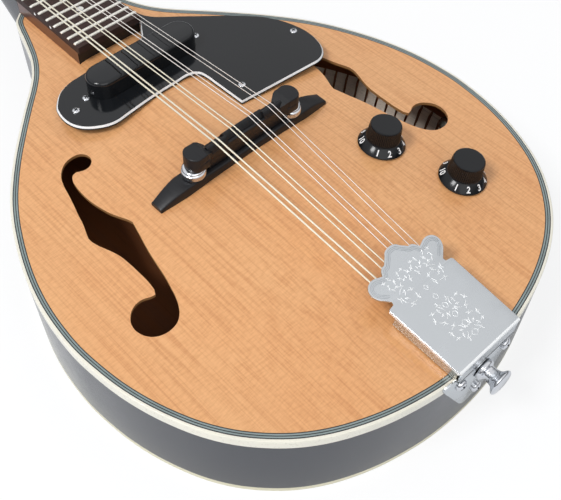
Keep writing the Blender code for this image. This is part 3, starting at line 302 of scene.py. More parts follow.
@dataclass(frozen=True)
class Wood(Finish):
    """Wood whose grain runs along Y."""

    dark: float = 0.8
    lines: float = 900.0
    pores: float = 0.3
    wave: float = 18.0

    def wire(self, nodes: Nodes) -> None:
        """Wire growth lines, slow bands, pores and a fine relief.

        Args:
            nodes: the material's nodes.
        """
        self.plain(nodes)
        lines = nodes.noise((self.lines, self.lines / 70, self.lines), 3.0, 0.2)
        slow = nodes.noise((self.wave, self.wave / 5, self.wave), 3.0, 0.6)
        first = nodes.ramp(lines, ((0.34, self.shade(self.dark)), (0.56, self.shade(1.0)),
                                   (0.72, self.shade(1.0 + self.mottle))))
        second = nodes.ramp(slow, ((0.3, self.shade(self.dark * 1.04)), (0.7, self.shade(1.0 + self.mottle))))
        colour = nodes.blend(0.45, first, second)
        pore = nodes.noise((self.lines * 2.2, self.lines / 14, self.lines * 2.2), 2.0)
        flecks = nodes.ramp(pore, ((0.30, (1.0 - self.pores,) * 3), (0.42, (1.0,) * 3)))
        colour = nodes.blend(1.0, colour, flecks, "MULTIPLY")
        nodes.dress(colour, nodes.span(lines, self.roughness * 0.88, self.roughness * 1.15))
        nodes.bump(lines, 0.35, self.relief)


@dataclass(frozen=True)
class Spruce(Finish):
    """Lacquered spruce: fine growth lines along Y, silk across them and warm clouds."""

    def wire(self, nodes: Nodes) -> None:
        """Wire clouds, growth lines and silk.

        Args:
            nodes: the material's nodes.
        """
        self.plain(nodes)
        clouds = nodes.noise((26.0, 14.0, 26.0), 4.0, 0.5)
        red, green, blue = self.colour
        colour = nodes.ramp(clouds,
                            ((0.3, (red * 1.01, green * 1.035, blue * 1.06)),
                             (0.7, (red * 0.99, green * 0.955, blue * 0.93))))
        grain = nodes.noise((900.0, 9.0, 900.0), 2.0, 0.1)
        shades = ((0.34, (0.89, 0.82, 0.76)), (0.52, (1.0, 1.0, 1.0)), (0.68, (1.03, 1.045, 1.05)))
        colour = nodes.blend(1.0, colour, nodes.ramp(grain, shades), "MULTIPLY")
        silk = nodes.noise((260.0, 1100.0, 260.0), 2.0, 0.2)
        shades = ((0.34, (0.93, 0.885, 0.84)), (0.54, (1.0, 1.0, 1.0)), (0.7, (1.03, 1.045, 1.05)))
        colour = nodes.blend(1.0, colour, nodes.ramp(silk, shades), "MULTIPLY")
        nodes.dress(colour, nodes.span(grain, self.roughness * 0.9, self.roughness * 1.12))
        nodes.bump(grain, 0.3, self.relief)


@dataclass(frozen=True)
class Pearl(Finish):
    """Mother of pearl, in soft flakes of cool and warm colour."""

    def wire(self, nodes: Nodes) -> None:
        """Wire flakes and their sheen.

        Args:
            nodes: the material's nodes.
        """
        self.plain(nodes)
        flakes = nodes.noise((700.0, 450.0, 700.0), 4.0, 1.5)
        colour = nodes.ramp(flakes, ((0.30, rgb(206, 214, 210)), (0.5, rgb(240, 238, 228)),
                                     (0.62, rgb(226, 216, 222)), (0.75, rgb(246, 246, 242))))
        nodes.dress(colour, nodes.span(flakes, 0.12, 0.35))


@dataclass(frozen=True)
class Wound(Finish):
    """A string wrapped in fine wire, seen as narrow ribs along its length."""

    pitch: float = 0.00032

    def wire(self, nodes: Nodes) -> None:
        """Wire the ribs of the wrap.

        Args:
            nodes: the material's nodes.
        """
        self.plain(nodes)
        wave = nodes.add("TexWave", wave_type="BANDS", bands_direction="Y", Scale_=1.0, Distortion_=0.0)
        turns = TAU / self.pitch / 20
        nodes.link(nodes.place((turns, turns, turns)), wave.inputs["Vector"])
        ribs = wave.outputs["Fac"]
        colour = nodes.ramp(ribs, ((0.0, self.shade(0.78)), (0.6, self.shade(1.05))))
        nodes.dress(colour, nodes.span(ribs, self.roughness * 1.3, self.roughness * 0.8, 0.0, 1.0))
        nodes.bump(ribs, 0.5, 0.00004)


SPRUCE = Spruce("spruce_lacquered", rgb(236, 175, 119), 0.32, coat=0.2, relief=0.000006)
SPRUCE_INSIDE = Wood("spruce_inside", rgb(196, 152, 108), 0.75, dark=0.86, pores=0.15)
# Spruce's cut edges: the wood's colour darkened with painted shade.
SPRUCE_CUT_SHADED = Wood("spruce_cut_painted_shade", rgb(172, 122, 74), 0.6, dark=0.8, lines=1400.0, pores=0.1)
LACQUER = Finish("black_lacquer", rgb(27, 31, 42), 0.16, coat=0.12, mottle=0.1, fine=200.0, relief=0.0000005)
INSIDE = Wood("maple_inside", rgb(146, 86, 46), 0.75, dark=0.8, lines=500.0, pores=0.2)
LINING = Wood("basswood_lining", rgb(250, 234, 216), 0.8, dark=0.88, lines=700.0, pores=0.2)
LINING_SLOT = Finish("lining_slot", rgb(150, 98, 62), 0.8)
BINDING = Finish("cream_binding", rgb(243, 238, 222), 0.3, mottle=0.03, coat=0.3)
# A darker, yellower copy of the cream binding: painted shade on the back binding.
BINDING_SHADED = Finish("cream_binding_painted_shade", rgb(226, 219, 188), 0.35, mottle=0.03, coat=0.2)
BLACK_LINE = Finish("black_purfling", rgb(30, 32, 36), 0.32, coat=0.3)
TEAL_LINE = Finish("teal_purfling", rgb(138, 152, 150), 0.32, coat=0.3, mottle=0.12)
ROSEWOOD = Wood("rosewood", rgb(60, 42, 38), 0.5, specular=0.3, dark=0.68, lines=1100.0, pores=0.5,
                mottle=0.16, relief=0.00004)
RISER = Wood("riser_wood", rgb(92, 44, 24), 0.32, coat=0.4, dark=0.74, lines=700.0, pores=0.3)
EBONISED = Wood("dyed_maple", rgb(27, 27, 30), 0.40, specular=0.35, dark=0.7, lines=700.0, pores=0.3,
                relief=0.00006)
PLASTIC = Finish("black_plastic", rgb(22, 24, 27), 0.10, mottle=0.08, fine=300.0, relief=0.0000005,
                 specular=0.42)
KNOB_BLACK = Finish("knob_plastic", rgb(17, 19, 22), 0.16, mottle=0.08, fine=300.0, relief=0.0000005,
                    specular=0.3)
WHITE_PLY = Finish("white_ply", rgb(246, 247, 247), 0.35, mottle=0.02)
FIGURES = Finish("white_figures", rgb(250, 251, 251), 0.5, mottle=0.02)
CHROME = Finish("chrome", rgb(214, 216, 220), 0.10, metallic=1.0, mottle=0.02, fine=200.0, relief=0.0000003)
CHROME_SOFT = Finish("chrome_plate", rgb(202, 206, 209), 0.24, metallic=1.0, mottle=0.015, fine=150.0,
                     relief=0.0000004)
# White and barely metallic: painted glints on the engraving, the cover's lips and its rolled edge.
PAINTED_GLINT = Finish("painted_glint_white", rgb(252, 253, 253), 0.35, metallic=0.25, mottle=0.02, fine=200.0)
ENGRAVED_LINE = Finish("engraved_line", rgb(150, 156, 162), 0.35, metallic=0.8, mottle=0.04, fine=200.0)
NICKEL = Finish("nickel", rgb(186, 184, 178), 0.28, metallic=1.0, mottle=0.05)
DARK_STEEL = Finish("dark_steel", rgb(70, 70, 72), 0.4, metallic=1.0, mottle=0.1)
FRET_WIRE = Finish("fret_wire", rgb(248, 245, 236), 0.26, metallic=0.55, mottle=0.02, fine=200.0,
                   relief=0.0000004)
STRING_WOUND = Wound("wound_string", rgb(250, 243, 222), 0.42, metallic=0.25)
STRING_PLAIN = Finish("plain_string", rgb(250, 243, 236), 0.36, metallic=0.25, mottle=0.02)
BONE = Finish("bone_nut", rgb(236, 230, 212), 0.38, mottle=0.05)
BUTTON = Pearl("button_plastic", rgb(238, 236, 226), 0.22)
PEARL = Pearl("pearl_dot", rgb(238, 238, 230), 0.2)
COPPER = Finish("coil_wire", rgb(150, 78, 38), 0.35, metallic=0.8, fine=2600.0)


# Modelling
def put(x: float, y: float, z: float) -> Matrix:
    """A frame moved from the origin."""
    return Matrix.Translation((x, y, z))


def spin(degrees: float, axis: str) -> Matrix:
    """A frame turned about an axis."""
    return Matrix.Rotation(radians(degrees), 4, axis)


def angles(turn: float, steps: int) -> list[float]:
    """Even steps through an angle in degrees, as radians."""
    return [radians(turn) * k / steps for k in range(steps + 1)]


def in_plan(line: Iterable[Vector]) -> list[Point2]:
    """The plan of a line of points."""
    return [(point.x, point.y) for point in line]


def raised(plan: Iterable[Sequence[float]], level: float) -> list[Point3]:
    """A plan set at a height."""
    return [(x, y, level) for x, y in plan]


def mirrored(half: Sequence[Point2], first: int = 0, last: int | None = None) -> list[Point2]:
    """Half of a plan and its other side, less the points on the middle line."""
    return [*half, *((-x, y) for x, y in reversed(half[first:last]))]


def moved(bm: BMesh, place: Matrix) -> BMesh:
    """The same mesh, moved by a frame."""
    bmesh.ops.transform(bm, matrix=place, verts=bm.verts)
    return bm


def loose(piece: Object) -> BMesh:
    """Take a piece's mesh back and remove the piece.

    Args:
        piece: the piece.
    Returns:
        Its mesh.
    """
    bm = bmesh.new()
    bm.from_mesh(piece.data)
    bpy.data.objects.remove(piece, do_unlink=True)
    return bm


def sliced(bm: BMesh, places: Iterable[float], axis: int) -> BMesh:
    """Split a mesh's faces along planes, so that it can be bent.

    Args:
        bm: the mesh.
        places: where the planes cross the axis.
        axis: 0 for X, 1 for Y.
    Returns:
        The same mesh.
    """
    normal = Vector((axis == 0, axis == 1, 0))
    for place in places:
        whole = [*bm.verts, *bm.edges, *bm.faces]
        bmesh.ops.bisect_plane(bm, geom=whole, plane_co=normal * place, plane_no=normal, dist=0.000001)
    return bm


def new_verts(made: dict) -> list[BMVert]:
    """The vertices in an operator's result."""
    return [item for item in made["geom"] if isinstance(item, BMVert)]


def edge_between(first: BMVert, second: BMVert) -> BMEdge:
    """The edge that joins two vertices."""
    return next(edge for edge in first.link_edges if edge.other_vert(first) is second)


def start_line(bm: BMesh, points: Iterable[Sequence[float]],
               closed: bool = True) -> list[BMVert]:
    """Set out a row of vertices joined by edges.

    Args:
        bm: the mesh.
        points: the places.
        closed: whether the last joins the first.
    Returns:
        The vertices in order.
    """
    verts = [bm.verts.new(point) for point in points]
    pairs = list(zip(verts, verts[1:]))
    if closed:
        pairs.append((verts[-1], verts[0]))
    for pair in pairs:
        bm.edges.new(pair)
    return verts


def draw_on(bm: BMesh, verts: list[BMVert], targets: Sequence[Sequence[float]],
            closed: bool = True, finish: int = 0) -> list[BMVert]:
    """Extrude a row of vertices and put each new one at its own place.

    Args:
        bm: the mesh.
        verts: the row, in order.
        targets: a place for each new vertex.
        closed: whether the row is a ring.
        finish: material index of the new faces.
    Returns:
        The new row in the same order.
    """
    pairs = list(zip(verts, verts[1:]))
    if closed:
        pairs.append((verts[-1], verts[0]))
    made = bmesh.ops.extrude_edge_only(bm, edges=[edge_between(*pair) for pair in pairs])
    fresh = set(new_verts(made))
    row = []
    for vert, target in zip(verts, targets):
        head = next(edge.other_vert(vert) for edge in vert.link_edges if edge.other_vert(vert) in fresh)
        head.co = target
        row.append(head)
    for item in made["geom"]:
        if isinstance(item, BMFace):
            item.material_index = finish
    return row


def skin(rows: Sequence[Sequence[Sequence[float]]], caps: bool = True, loop: bool = False,
         finishes: Sequence[int] = ()) -> BMesh:
    """Draw one closed row of points through the next.

    Args:
        rows: rows of equally many points.
        caps: whether the first and last rows are filled.
        loop: whether the last row joins the first.
        finishes: material index of each step, 0 where there is none.
    Returns:
        The new mesh.
    """
    bm = bmesh.new()
    first = start_line(bm, rows[0])
    row = first
    for step, targets in enumerate(list(rows[1:]) + ([rows[0]] if loop else [])):
        row = draw_on(bm, row, targets, finish=finishes[step] if step < len(finishes) else 0)
    if loop:
        bmesh.ops.remove_doubles(bm, verts=bm.verts, dist=WELD)
    elif caps:
        bm.faces.new(first).material_index = finishes[0] if finishes else 0
        bm.faces.new(row).material_index = finishes[-1] if finishes else 0
    return bm


def slab(points: Sequence[Point2], low: float, high: float) -> BMesh:
    """A flat plate from its plan.

    Args:
        points: the plan, in order.
        low: height of the underside.
        high: height of the top.
    Returns:
        The new mesh.
    """
    bm = bmesh.new()
    face = bm.faces.new([bm.verts.new((x, y, low)) for x, y in points])
    made = bmesh.ops.extrude_face_region(bm, geom=[face])
    bmesh.ops.translate(bm, vec=(0, 0, high - low), verts=new_verts(made))
    return bm


def turned(profile: Sequence[Point2], steps: int, place: Matrix = Matrix.Identity(4),
           finishes: Sequence[int] = ()) -> BMesh:
    """Spin a profile of radius and height pairs about Z.

    Args:
        profile: the profile from one end to the other.
        steps: faces round the shape.
        place: where the shape goes.
        finishes: material index of each step of the profile.
    Returns:
        The new mesh.
    """
    bm = bmesh.new()
    for step, pair in enumerate(zip(profile, profile[1:])):
        index = finishes[step] if step < len(finishes) else 0
        verts = [bm.verts.new((radius, 0, height)) for radius, height in pair]
        edge = bm.edges.new(verts)
        before = set(bm.faces)
        bmesh.ops.spin(bm, geom=verts + [edge], axis=(0, 0, 1), cent=(0, 0, 0), angle=TAU, steps=steps,
                       use_merge=True)
        for face in set(bm.faces) - before:
            face.material_index = index
    bmesh.ops.remove_doubles(bm, verts=bm.verts, dist=WELD)
    return moved(bm, place)


def cylinder(radius: float, low: float, high: float, steps: int, place: Matrix = Matrix.Identity(4)) -> BMesh:
    """A plain cylinder about Z."""
    return turned(((0, low), (radius, low), (radius, high), (0, high)), steps, place)


def rounded(bm: BMesh, size: float, segments: int = 2, angle: float = 40.0,
            chosen: Callable[[BMEdge], bool] = lambda edge: True) -> BMesh:
    """Bevel the sharp edges of a mesh.

    Args:
        bm: the mesh.
        size: width of the bevel.
        segments: faces across it.
        angle: the least angle between the faces, in degrees.
        chosen: test for the edges to take.
    Returns:
        The same mesh.
    """
    bmesh.ops.recalc_face_normals(bm, faces=bm.faces)
    least = radians(angle)
    edges = [edge for edge in bm.edges
             if len(edge.link_faces) == 2 and edge.calc_face_angle(0.0) > least and chosen(edge)]
    bmesh.ops.bevel(bm, geom=edges, offset=size, offset_type="OFFSET", segments=segments, profile=0.5,
                    affect="EDGES", material=-1, clamp_overlap=True)
    return bm


def joined(shapes: Iterable[BMesh]) -> BMesh:
    """Put several meshes into one, each with its own material indices.

    Args:
        shapes: the meshes, which are used up.
    Returns:
        The new mesh.
    """
    whole = bmesh.new()
    for shape in shapes:
        mesh = bpy.data.meshes.new("shape")
        shape.to_mesh(mesh)
        shape.free()
        whole.from_mesh(mesh)
        bpy.data.meshes.remove(mesh)
    return whole


def rod(points: Sequence[Sequence[float]], radius: float | Sequence[float], sides: int = 10,
        caps: bool = True) -> BMesh:
    """A round wire along a path.

    Args:
        points: the path.
        radius: one radius, or one for each point.
        sides: faces round the wire.
        caps: whether the ends are filled.
    Returns:
        The new mesh.
    """
    path = [Vector(point) for point in points]
    radii = [radius] * len(path) if isinstance(radius, float) else list(radius)
    along = (path[1] - path[0]).normalized()
    across = along.orthogonal().normalized()
    rows = []
    for i, point in enumerate(path):
        ahead = (path[min(i + 1, len(path) - 1)] - path[max(i - 1, 0)]).normalized()
        across = (across - ahead * across.dot(ahead)).normalized()
        over = ahead.cross(across)
        rows.append([point + radii[i] * (cos(TAU * k / sides) * across + sin(TAU * k / sides) * over)
                     for k in range(sides)])
    return skin(rows, caps=caps)


def smooth_path(points: Sequence[Sequence[float]], per: int, closed: bool = False,
                sharp: Iterable[int] = ()) -> list[Vector]:
    """Draw a smooth line through points.

    Args:
        points: the points.
        per: steps between two points.
        closed: whether the line comes back to its start.
        sharp: places of points that stay corners.
    Returns:
        The points of the line.
    """
    knots = [Vector((*point, 0.0)) if len(point) == 2 else Vector(point) for point in points]
    count = len(knots)
    corners = set(index % count for index in sharp)

    def slope(index: int, way: int) -> Vector:
        """Direction of the line at a point, on one side of it.

        Args:
            index: the point's place in the row.
            way: 1 for the side after it, -1 for the side before.
        Returns:
            The direction.
        """
        here = knots[index]
        ends = not closed and index in (0, count - 1)
        after, before = knots[(index + 1) % count], knots[index - 1]
        if index in corners or ends:
            other = after if (way > 0 and index != count - 1) or (ends and index == 0) else before
            gap = (other - here).length or 1.0
            return (other - here) / gap if other is after else (here - other) / gap
        one, two = (here - before).length or 1e-9, (after - here).length or 1e-9
        return ((here - before) / one * two + (after - here) / two * one) / (one + two)
    result = []
    spans = count if closed else count - 1
    for i in range(spans):
        j = (i + 1) % count
        size = (knots[j] - knots[i]).length
        start, end = slope(i, 1) * size, slope(j, -1) * size
        for k in range(per):
            t = k / per
            result.append(knots[i] * (2 * t ** 3 - 3 * t ** 2 + 1) + start * (t ** 3 - 2 * t ** 2 + t)
                          + knots[j] * (3 * t ** 2 - 2 * t ** 3) + end * (t ** 3 - t ** 2))
    if not closed:
        result.append(knots[-1])
    return result


def plan_offset(points: Sequence[Sequence[float]], distance: float) -> list[Point2]:
    """Move a closed plan outwards, with its corners mitred.

    Args:
        points: the plan, counter-clockwise.
        distance: how far outwards.
    Returns:
        The new plan.
    """
    flat = [Vector((point[0], point[1])) for point in points]
    result = []
    for i, here in enumerate(flat):
        first = (here - flat[i - 1]).normalized()
        second = (flat[(i + 1) % len(flat)] - here).normalized()
        out_a, out_b = Vector((first.y, -first.x)), Vector((second.y, -second.x))
        shift = (out_a + out_b) / max(0.35, 1.0 + out_a.dot(out_b))
        result.append(tuple(here + shift * distance))
    return result


def pill(length: float, width: float, middle: Point2 = (0.0, 0.0), steps: int = 14) -> list[Point2]:
    """A plan with straight sides and half-round ends, along X.

    Args:
        length: over both ends.
        width: across.
        middle: where its middle is.
        steps: edges in each half-round end.
    Returns:
        The plan, counter-clockwise.
    """
    radius, reach = width / 2, length / 2 - width / 2
    half = [(reach + radius * cos(pi * (k / steps - 0.5)), radius * sin(pi * (k / steps - 0.5)))
            for k in range(steps + 1)]
    return [(middle[0] + way * x, middle[1] + way * y) for way in (1, -1) for x, y in half]


def second_finish(bm: BMesh) -> BMesh:
    """The same mesh, with the second of its finishes all over."""
    for face in bm.faces:
        face.material_index = 1
    return bm


def shown(name: str, data: ID) -> Object:
    """Make an object of its data and put it in the scene.

    Args:
        name: the object's name.
        data: its mesh, curve, lamp or camera.
    Returns:
        The object.
    """
    piece = bpy.data.objects.new(name, data)
    bpy.context.scene.collection.objects.link(piece)
    return piece


def as_object(bm: BMesh, name: str, finishes: Sequence[Finish] = ()) -> Object:
    """Make an object of a mesh, with outward faces.

    Args:
        bm: the mesh, which is used up.
        name: the object's name.
        finishes: its finishes, in the order of its material indices.
    Returns:
        The object.
    """
    bmesh.ops.remove_doubles(bm, verts=bm.verts, dist=WELD)
    bmesh.ops.recalc_face_normals(bm, faces=bm.faces)
    mesh = bpy.data.meshes.new(name)
    bm.to_mesh(mesh)
    bm.free()
    for finish in finishes:
        mesh.materials.append(finish.material())
    return shown(name, mesh)


def combine(piece: Object, shape: BMesh, operation: str, finishes: Sequence[Finish]) -> None:
    """Combine a piece with a shape, whose finish stays on the faces it leaves.

    Args:
        piece: the piece.
        shape: the shape, which is used up.
        operation: Blender's name for the way of combining.
        finishes: the shape's finishes.
    """
    tool = as_object(shape, "tool", finishes)
    step = piece.modifiers.new("carve", "BOOLEAN")
    step.operation = operation
    step.solver = "EXACT"
    step.material_mode = "TRANSFER"
    step.object = tool
    depsgraph = bpy.context.evaluated_depsgraph_get()
    result = bpy.data.meshes.new_from_object(piece.evaluated_get(depsgraph))
    piece.modifiers.clear()
    old, piece.data = piece.data, result
    bpy.data.meshes.remove(old)
    bpy.data.objects.remove(tool, do_unlink=True)


def carved(piece: Object, shape: BMesh, *finishes: Finish) -> None:
    """Cut a shape out of a piece."""
    combine(piece, shape, "DIFFERENCE", finishes)


def merged(piece: Object, shape: BMesh, *finishes: Finish) -> None:
    """Join a shape on to a piece."""
    combine(piece, shape, "UNION", finishes)


def dressed(piece: Object, body: str | None, slot: str, angle: float = 35.0, stands: bool = False) -> Object:
    """Shade a piece, set it on its body and, where it stands for a frame part, hide that part.

    Args:
        piece: the piece.
        body: the body it rides on, or none to leave it on no body.
        slot: the name of the frame part that it may stand for.
        angle: faces that meet at more than this stay sharp, in degrees.
        stands: whether it replaces the frame part of the slot's name.
    Returns:
        The piece.
    """
    mesh = piece.data
    for face in mesh.polygons:
        face.use_smooth = True
    mesh.set_sharp_from_angle(angle=radians(angle))
    if body:
        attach(piece, body)
    if stands:
        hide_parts(slot)
    LOG.info("%s: %d faces", piece.name, len(mesh.polygons))
    return piece


def finished(bm: BMesh, name: str, body: str, slot: str, *finishes: Finish, angle: float = 35.0,
             stands: bool = False) -> Object:
    """Make a finished piece of a mesh.

    Args:
        bm: the mesh, which is used up.
        name: the piece's name.
        body: the body it rides on.
        slot: the name of the frame part that it may stand for.
        finishes: its finishes, in the order of its material indices.
        angle: faces that meet at more than this stay sharp, in degrees.
        stands: whether it replaces the frame part of the slot's name.
    Returns:
        The piece.
    """
    return dressed(as_object(bm, name, finishes), body, slot, angle, stands)


def repainted(node: str, finish: Finish) -> None:
    """Give a frame part a finish of the scene's.

    Args:
        node: the frame part's name.
        finish: the finish.
    """
    piece = bpy.data.objects[node]
    for holder in piece.material_slots:
        holder.material = finish.material()
    LOG.info("%s: kept, %s", node, finish.name)


def pan_screw(place: Matrix, radius: float, height: float) -> BMesh:
    """A domed screw with a cross recess, its seat at the frame's origin.

    Args:
        place: frame with Z out of the surface.
        radius: of the head.
        height: of the head.
    Returns:
        The new mesh; the recess has material index 1.
    """
    profile = [(0.0, -0.0006), (radius * 0.7, -0.0006), (radius * 0.7, 0.0), (radius, 0.0),
               (radius, height * 0.3)]
    profile += [(radius * cos(angle), height * (0.3 + 0.7 * sin(angle)))
                for angle in (pi / 2 * k / 7 for k in range(1, 8))]
    head = as_object(turned(profile, 32), "screw", (CHROME,))
    arm, thick = radius * 0.56, radius * 0.15
    arms = [slab([(-a, -b), (a, -b), (a, b), (-a, b)], height * 0.35, height * 2)
            for a, b in ((arm, thick), (thick, arm))]
    for shape in arms:
        carved(head, shape, DARK_STEEL)
    return moved(loose(head), place)


def facing(place: Sequence[float], outwards: Sequence[float], turn: float = 0.0) -> Matrix:
    """A frame at a place with its Z along a direction.

    Args:
        place: the origin.
        outwards: the direction of Z.
        turn: angle about Z in degrees.
    Returns:
        The frame.
    """
    frame_turn = Vector(outwards).to_track_quat("Z", "Y").to_matrix().to_4x4()
    return Matrix.Translation(place) @ frame_turn @ Matrix.Rotation(radians(turn), 4, "Z")


# Body
@dataclass(frozen=True)
class BodyLines:
    """The lines of the body: its plan, its rim and the arch of its soundboard."""

    half_width: float = 0.1281
    centre: float = -0.040
    purfling: float = 0.0028
    binding: float = 0.0014
    depth: float = 0.054
    top_thickness: float = 0.003
    arch: float = 0.0088
    fullness: float = 0.45
    outline: tuple[Point2, ...] = (
        (0, 0.943), (6, 0.9451), (12, 0.95), (18, 0.9564), (24, 0.9664), (30, 0.9777), (36, 0.9899),
        (42, 0.9999), (48, 1.0055), (54, 1.0088), (60, 1.0078), (66, 1.0038), (72, 1.0008), (78, 0.9988),
        (84, 0.9977), (90, 1.0001), (96, 1.0016), (102, 1.0058), (108, 1.0109), (114, 1.0174),
        (120, 1.0273), (126, 1.042), (132, 1.0593), (138, 1.0781), (144, 1.103), (149, 1.1292),
        (154, 1.164), (158, 1.198), (162, 1.2399), (165, 1.2836), (167, 1.3252), (169, 1.3837),
        (170.7, 1.4553), (172, 1.5207), (172.94, 1.5748), (173.71, 1.6116), (174.91, 1.638))

    @property
    def edge(self) -> float:
        """Width of purfling and binding together."""
        return self.purfling + self.binding

    @property
    def tail(self) -> float:
        """Y of the body's end at the tailpiece."""
        return self.centre - self.outline[0][1] * self.half_width - self.edge

    @property
    def neck(self) -> float:
        """Y of the body's end at the neck."""
        last = radians(self.outline[-1][0])
        return self.centre - self.half_width * self.outline[-1][1] * cos(last) + self.edge

    def plan(self, offset: float = 0.0, per: int = 4) -> list[Point2]:
        """The body's plan, moved outwards.

        Args:
            offset: distance outwards from the soundboard's edge.
            per: steps between two measured points.
        Returns:
            The plan, counter-clockwise from the tail.
        """
        treble = []
        for degrees, share in self.outline:
            angle = radians(degrees)
            reach = self.half_width * share
            treble.append((reach * sin(angle), self.centre - reach * cos(angle)))
        whole = mirrored(treble, 1)
        last = len(treble) - 1
        line = smooth_path(whole, per, closed=True, sharp=(last, last + 1))
        return plan_offset(line, offset)

    def reach(self, angle: float) -> float:
        """Distance from the centre to the soundboard's edge, at an angle from the tail.

        Args:
            angle: the angle in radians.
        Returns:
            The distance.
        """
        degrees = math.degrees(abs(angle))
        if degrees >= self.outline[-1][0]:
            return (self.neck - self.edge - self.centre) / -cos(angle)
        for (low, first), (high, second) in zip(self.outline, self.outline[1:]):
            if low <= degrees <= high:
                return (first + (second - first) * (degrees - low) / (high - low)) * self.half_width
        return self.half_width

    def arch_share(self, t: float, angle: float) -> float:
        """Share of the arch's height at a share of the way out."""
        power = 1.0 - self.fullness * ((1.0 - cos(angle)) / 2) ** 2
        return (cos(pi / 2 * min(1.0, t)) ** 2) ** power

    def top(self, x: float, y: float) -> float:
        """Height of the soundboard's outside.

        Args:
            x: place across.
            y: place along.
        Returns:
            The height.
        """
        angle = math.atan2(x, self.centre - y)
        t = math.hypot(x, y - self.centre) / self.reach(angle)
        return self.depth + self.arch * self.arch_share(t, angle)

    def top_frame(self, x: float, y: float) -> Matrix:
        """A frame on the soundboard with its Z along the surface's normal.

        Args:
            x: place across.
            y: place along.
        Returns:
            The frame.
        """
        step = 0.004
        slope_x = (self.top(x + step, y) - self.top(x - step, y)) / (2 * step)
        slope_y = (self.top(x, y + step) - self.top(x, y - step)) / (2 * step)
        normal = Vector((-slope_x, -slope_y, 1)).normalized()
        across = Vector((0, 1, 0)).cross(normal).normalized()
        turn = Matrix((across, normal.cross(across), normal)).transposed().to_4x4()
        return put(x, y, self.top(x, y)) @ turn


LINES = BodyLines()


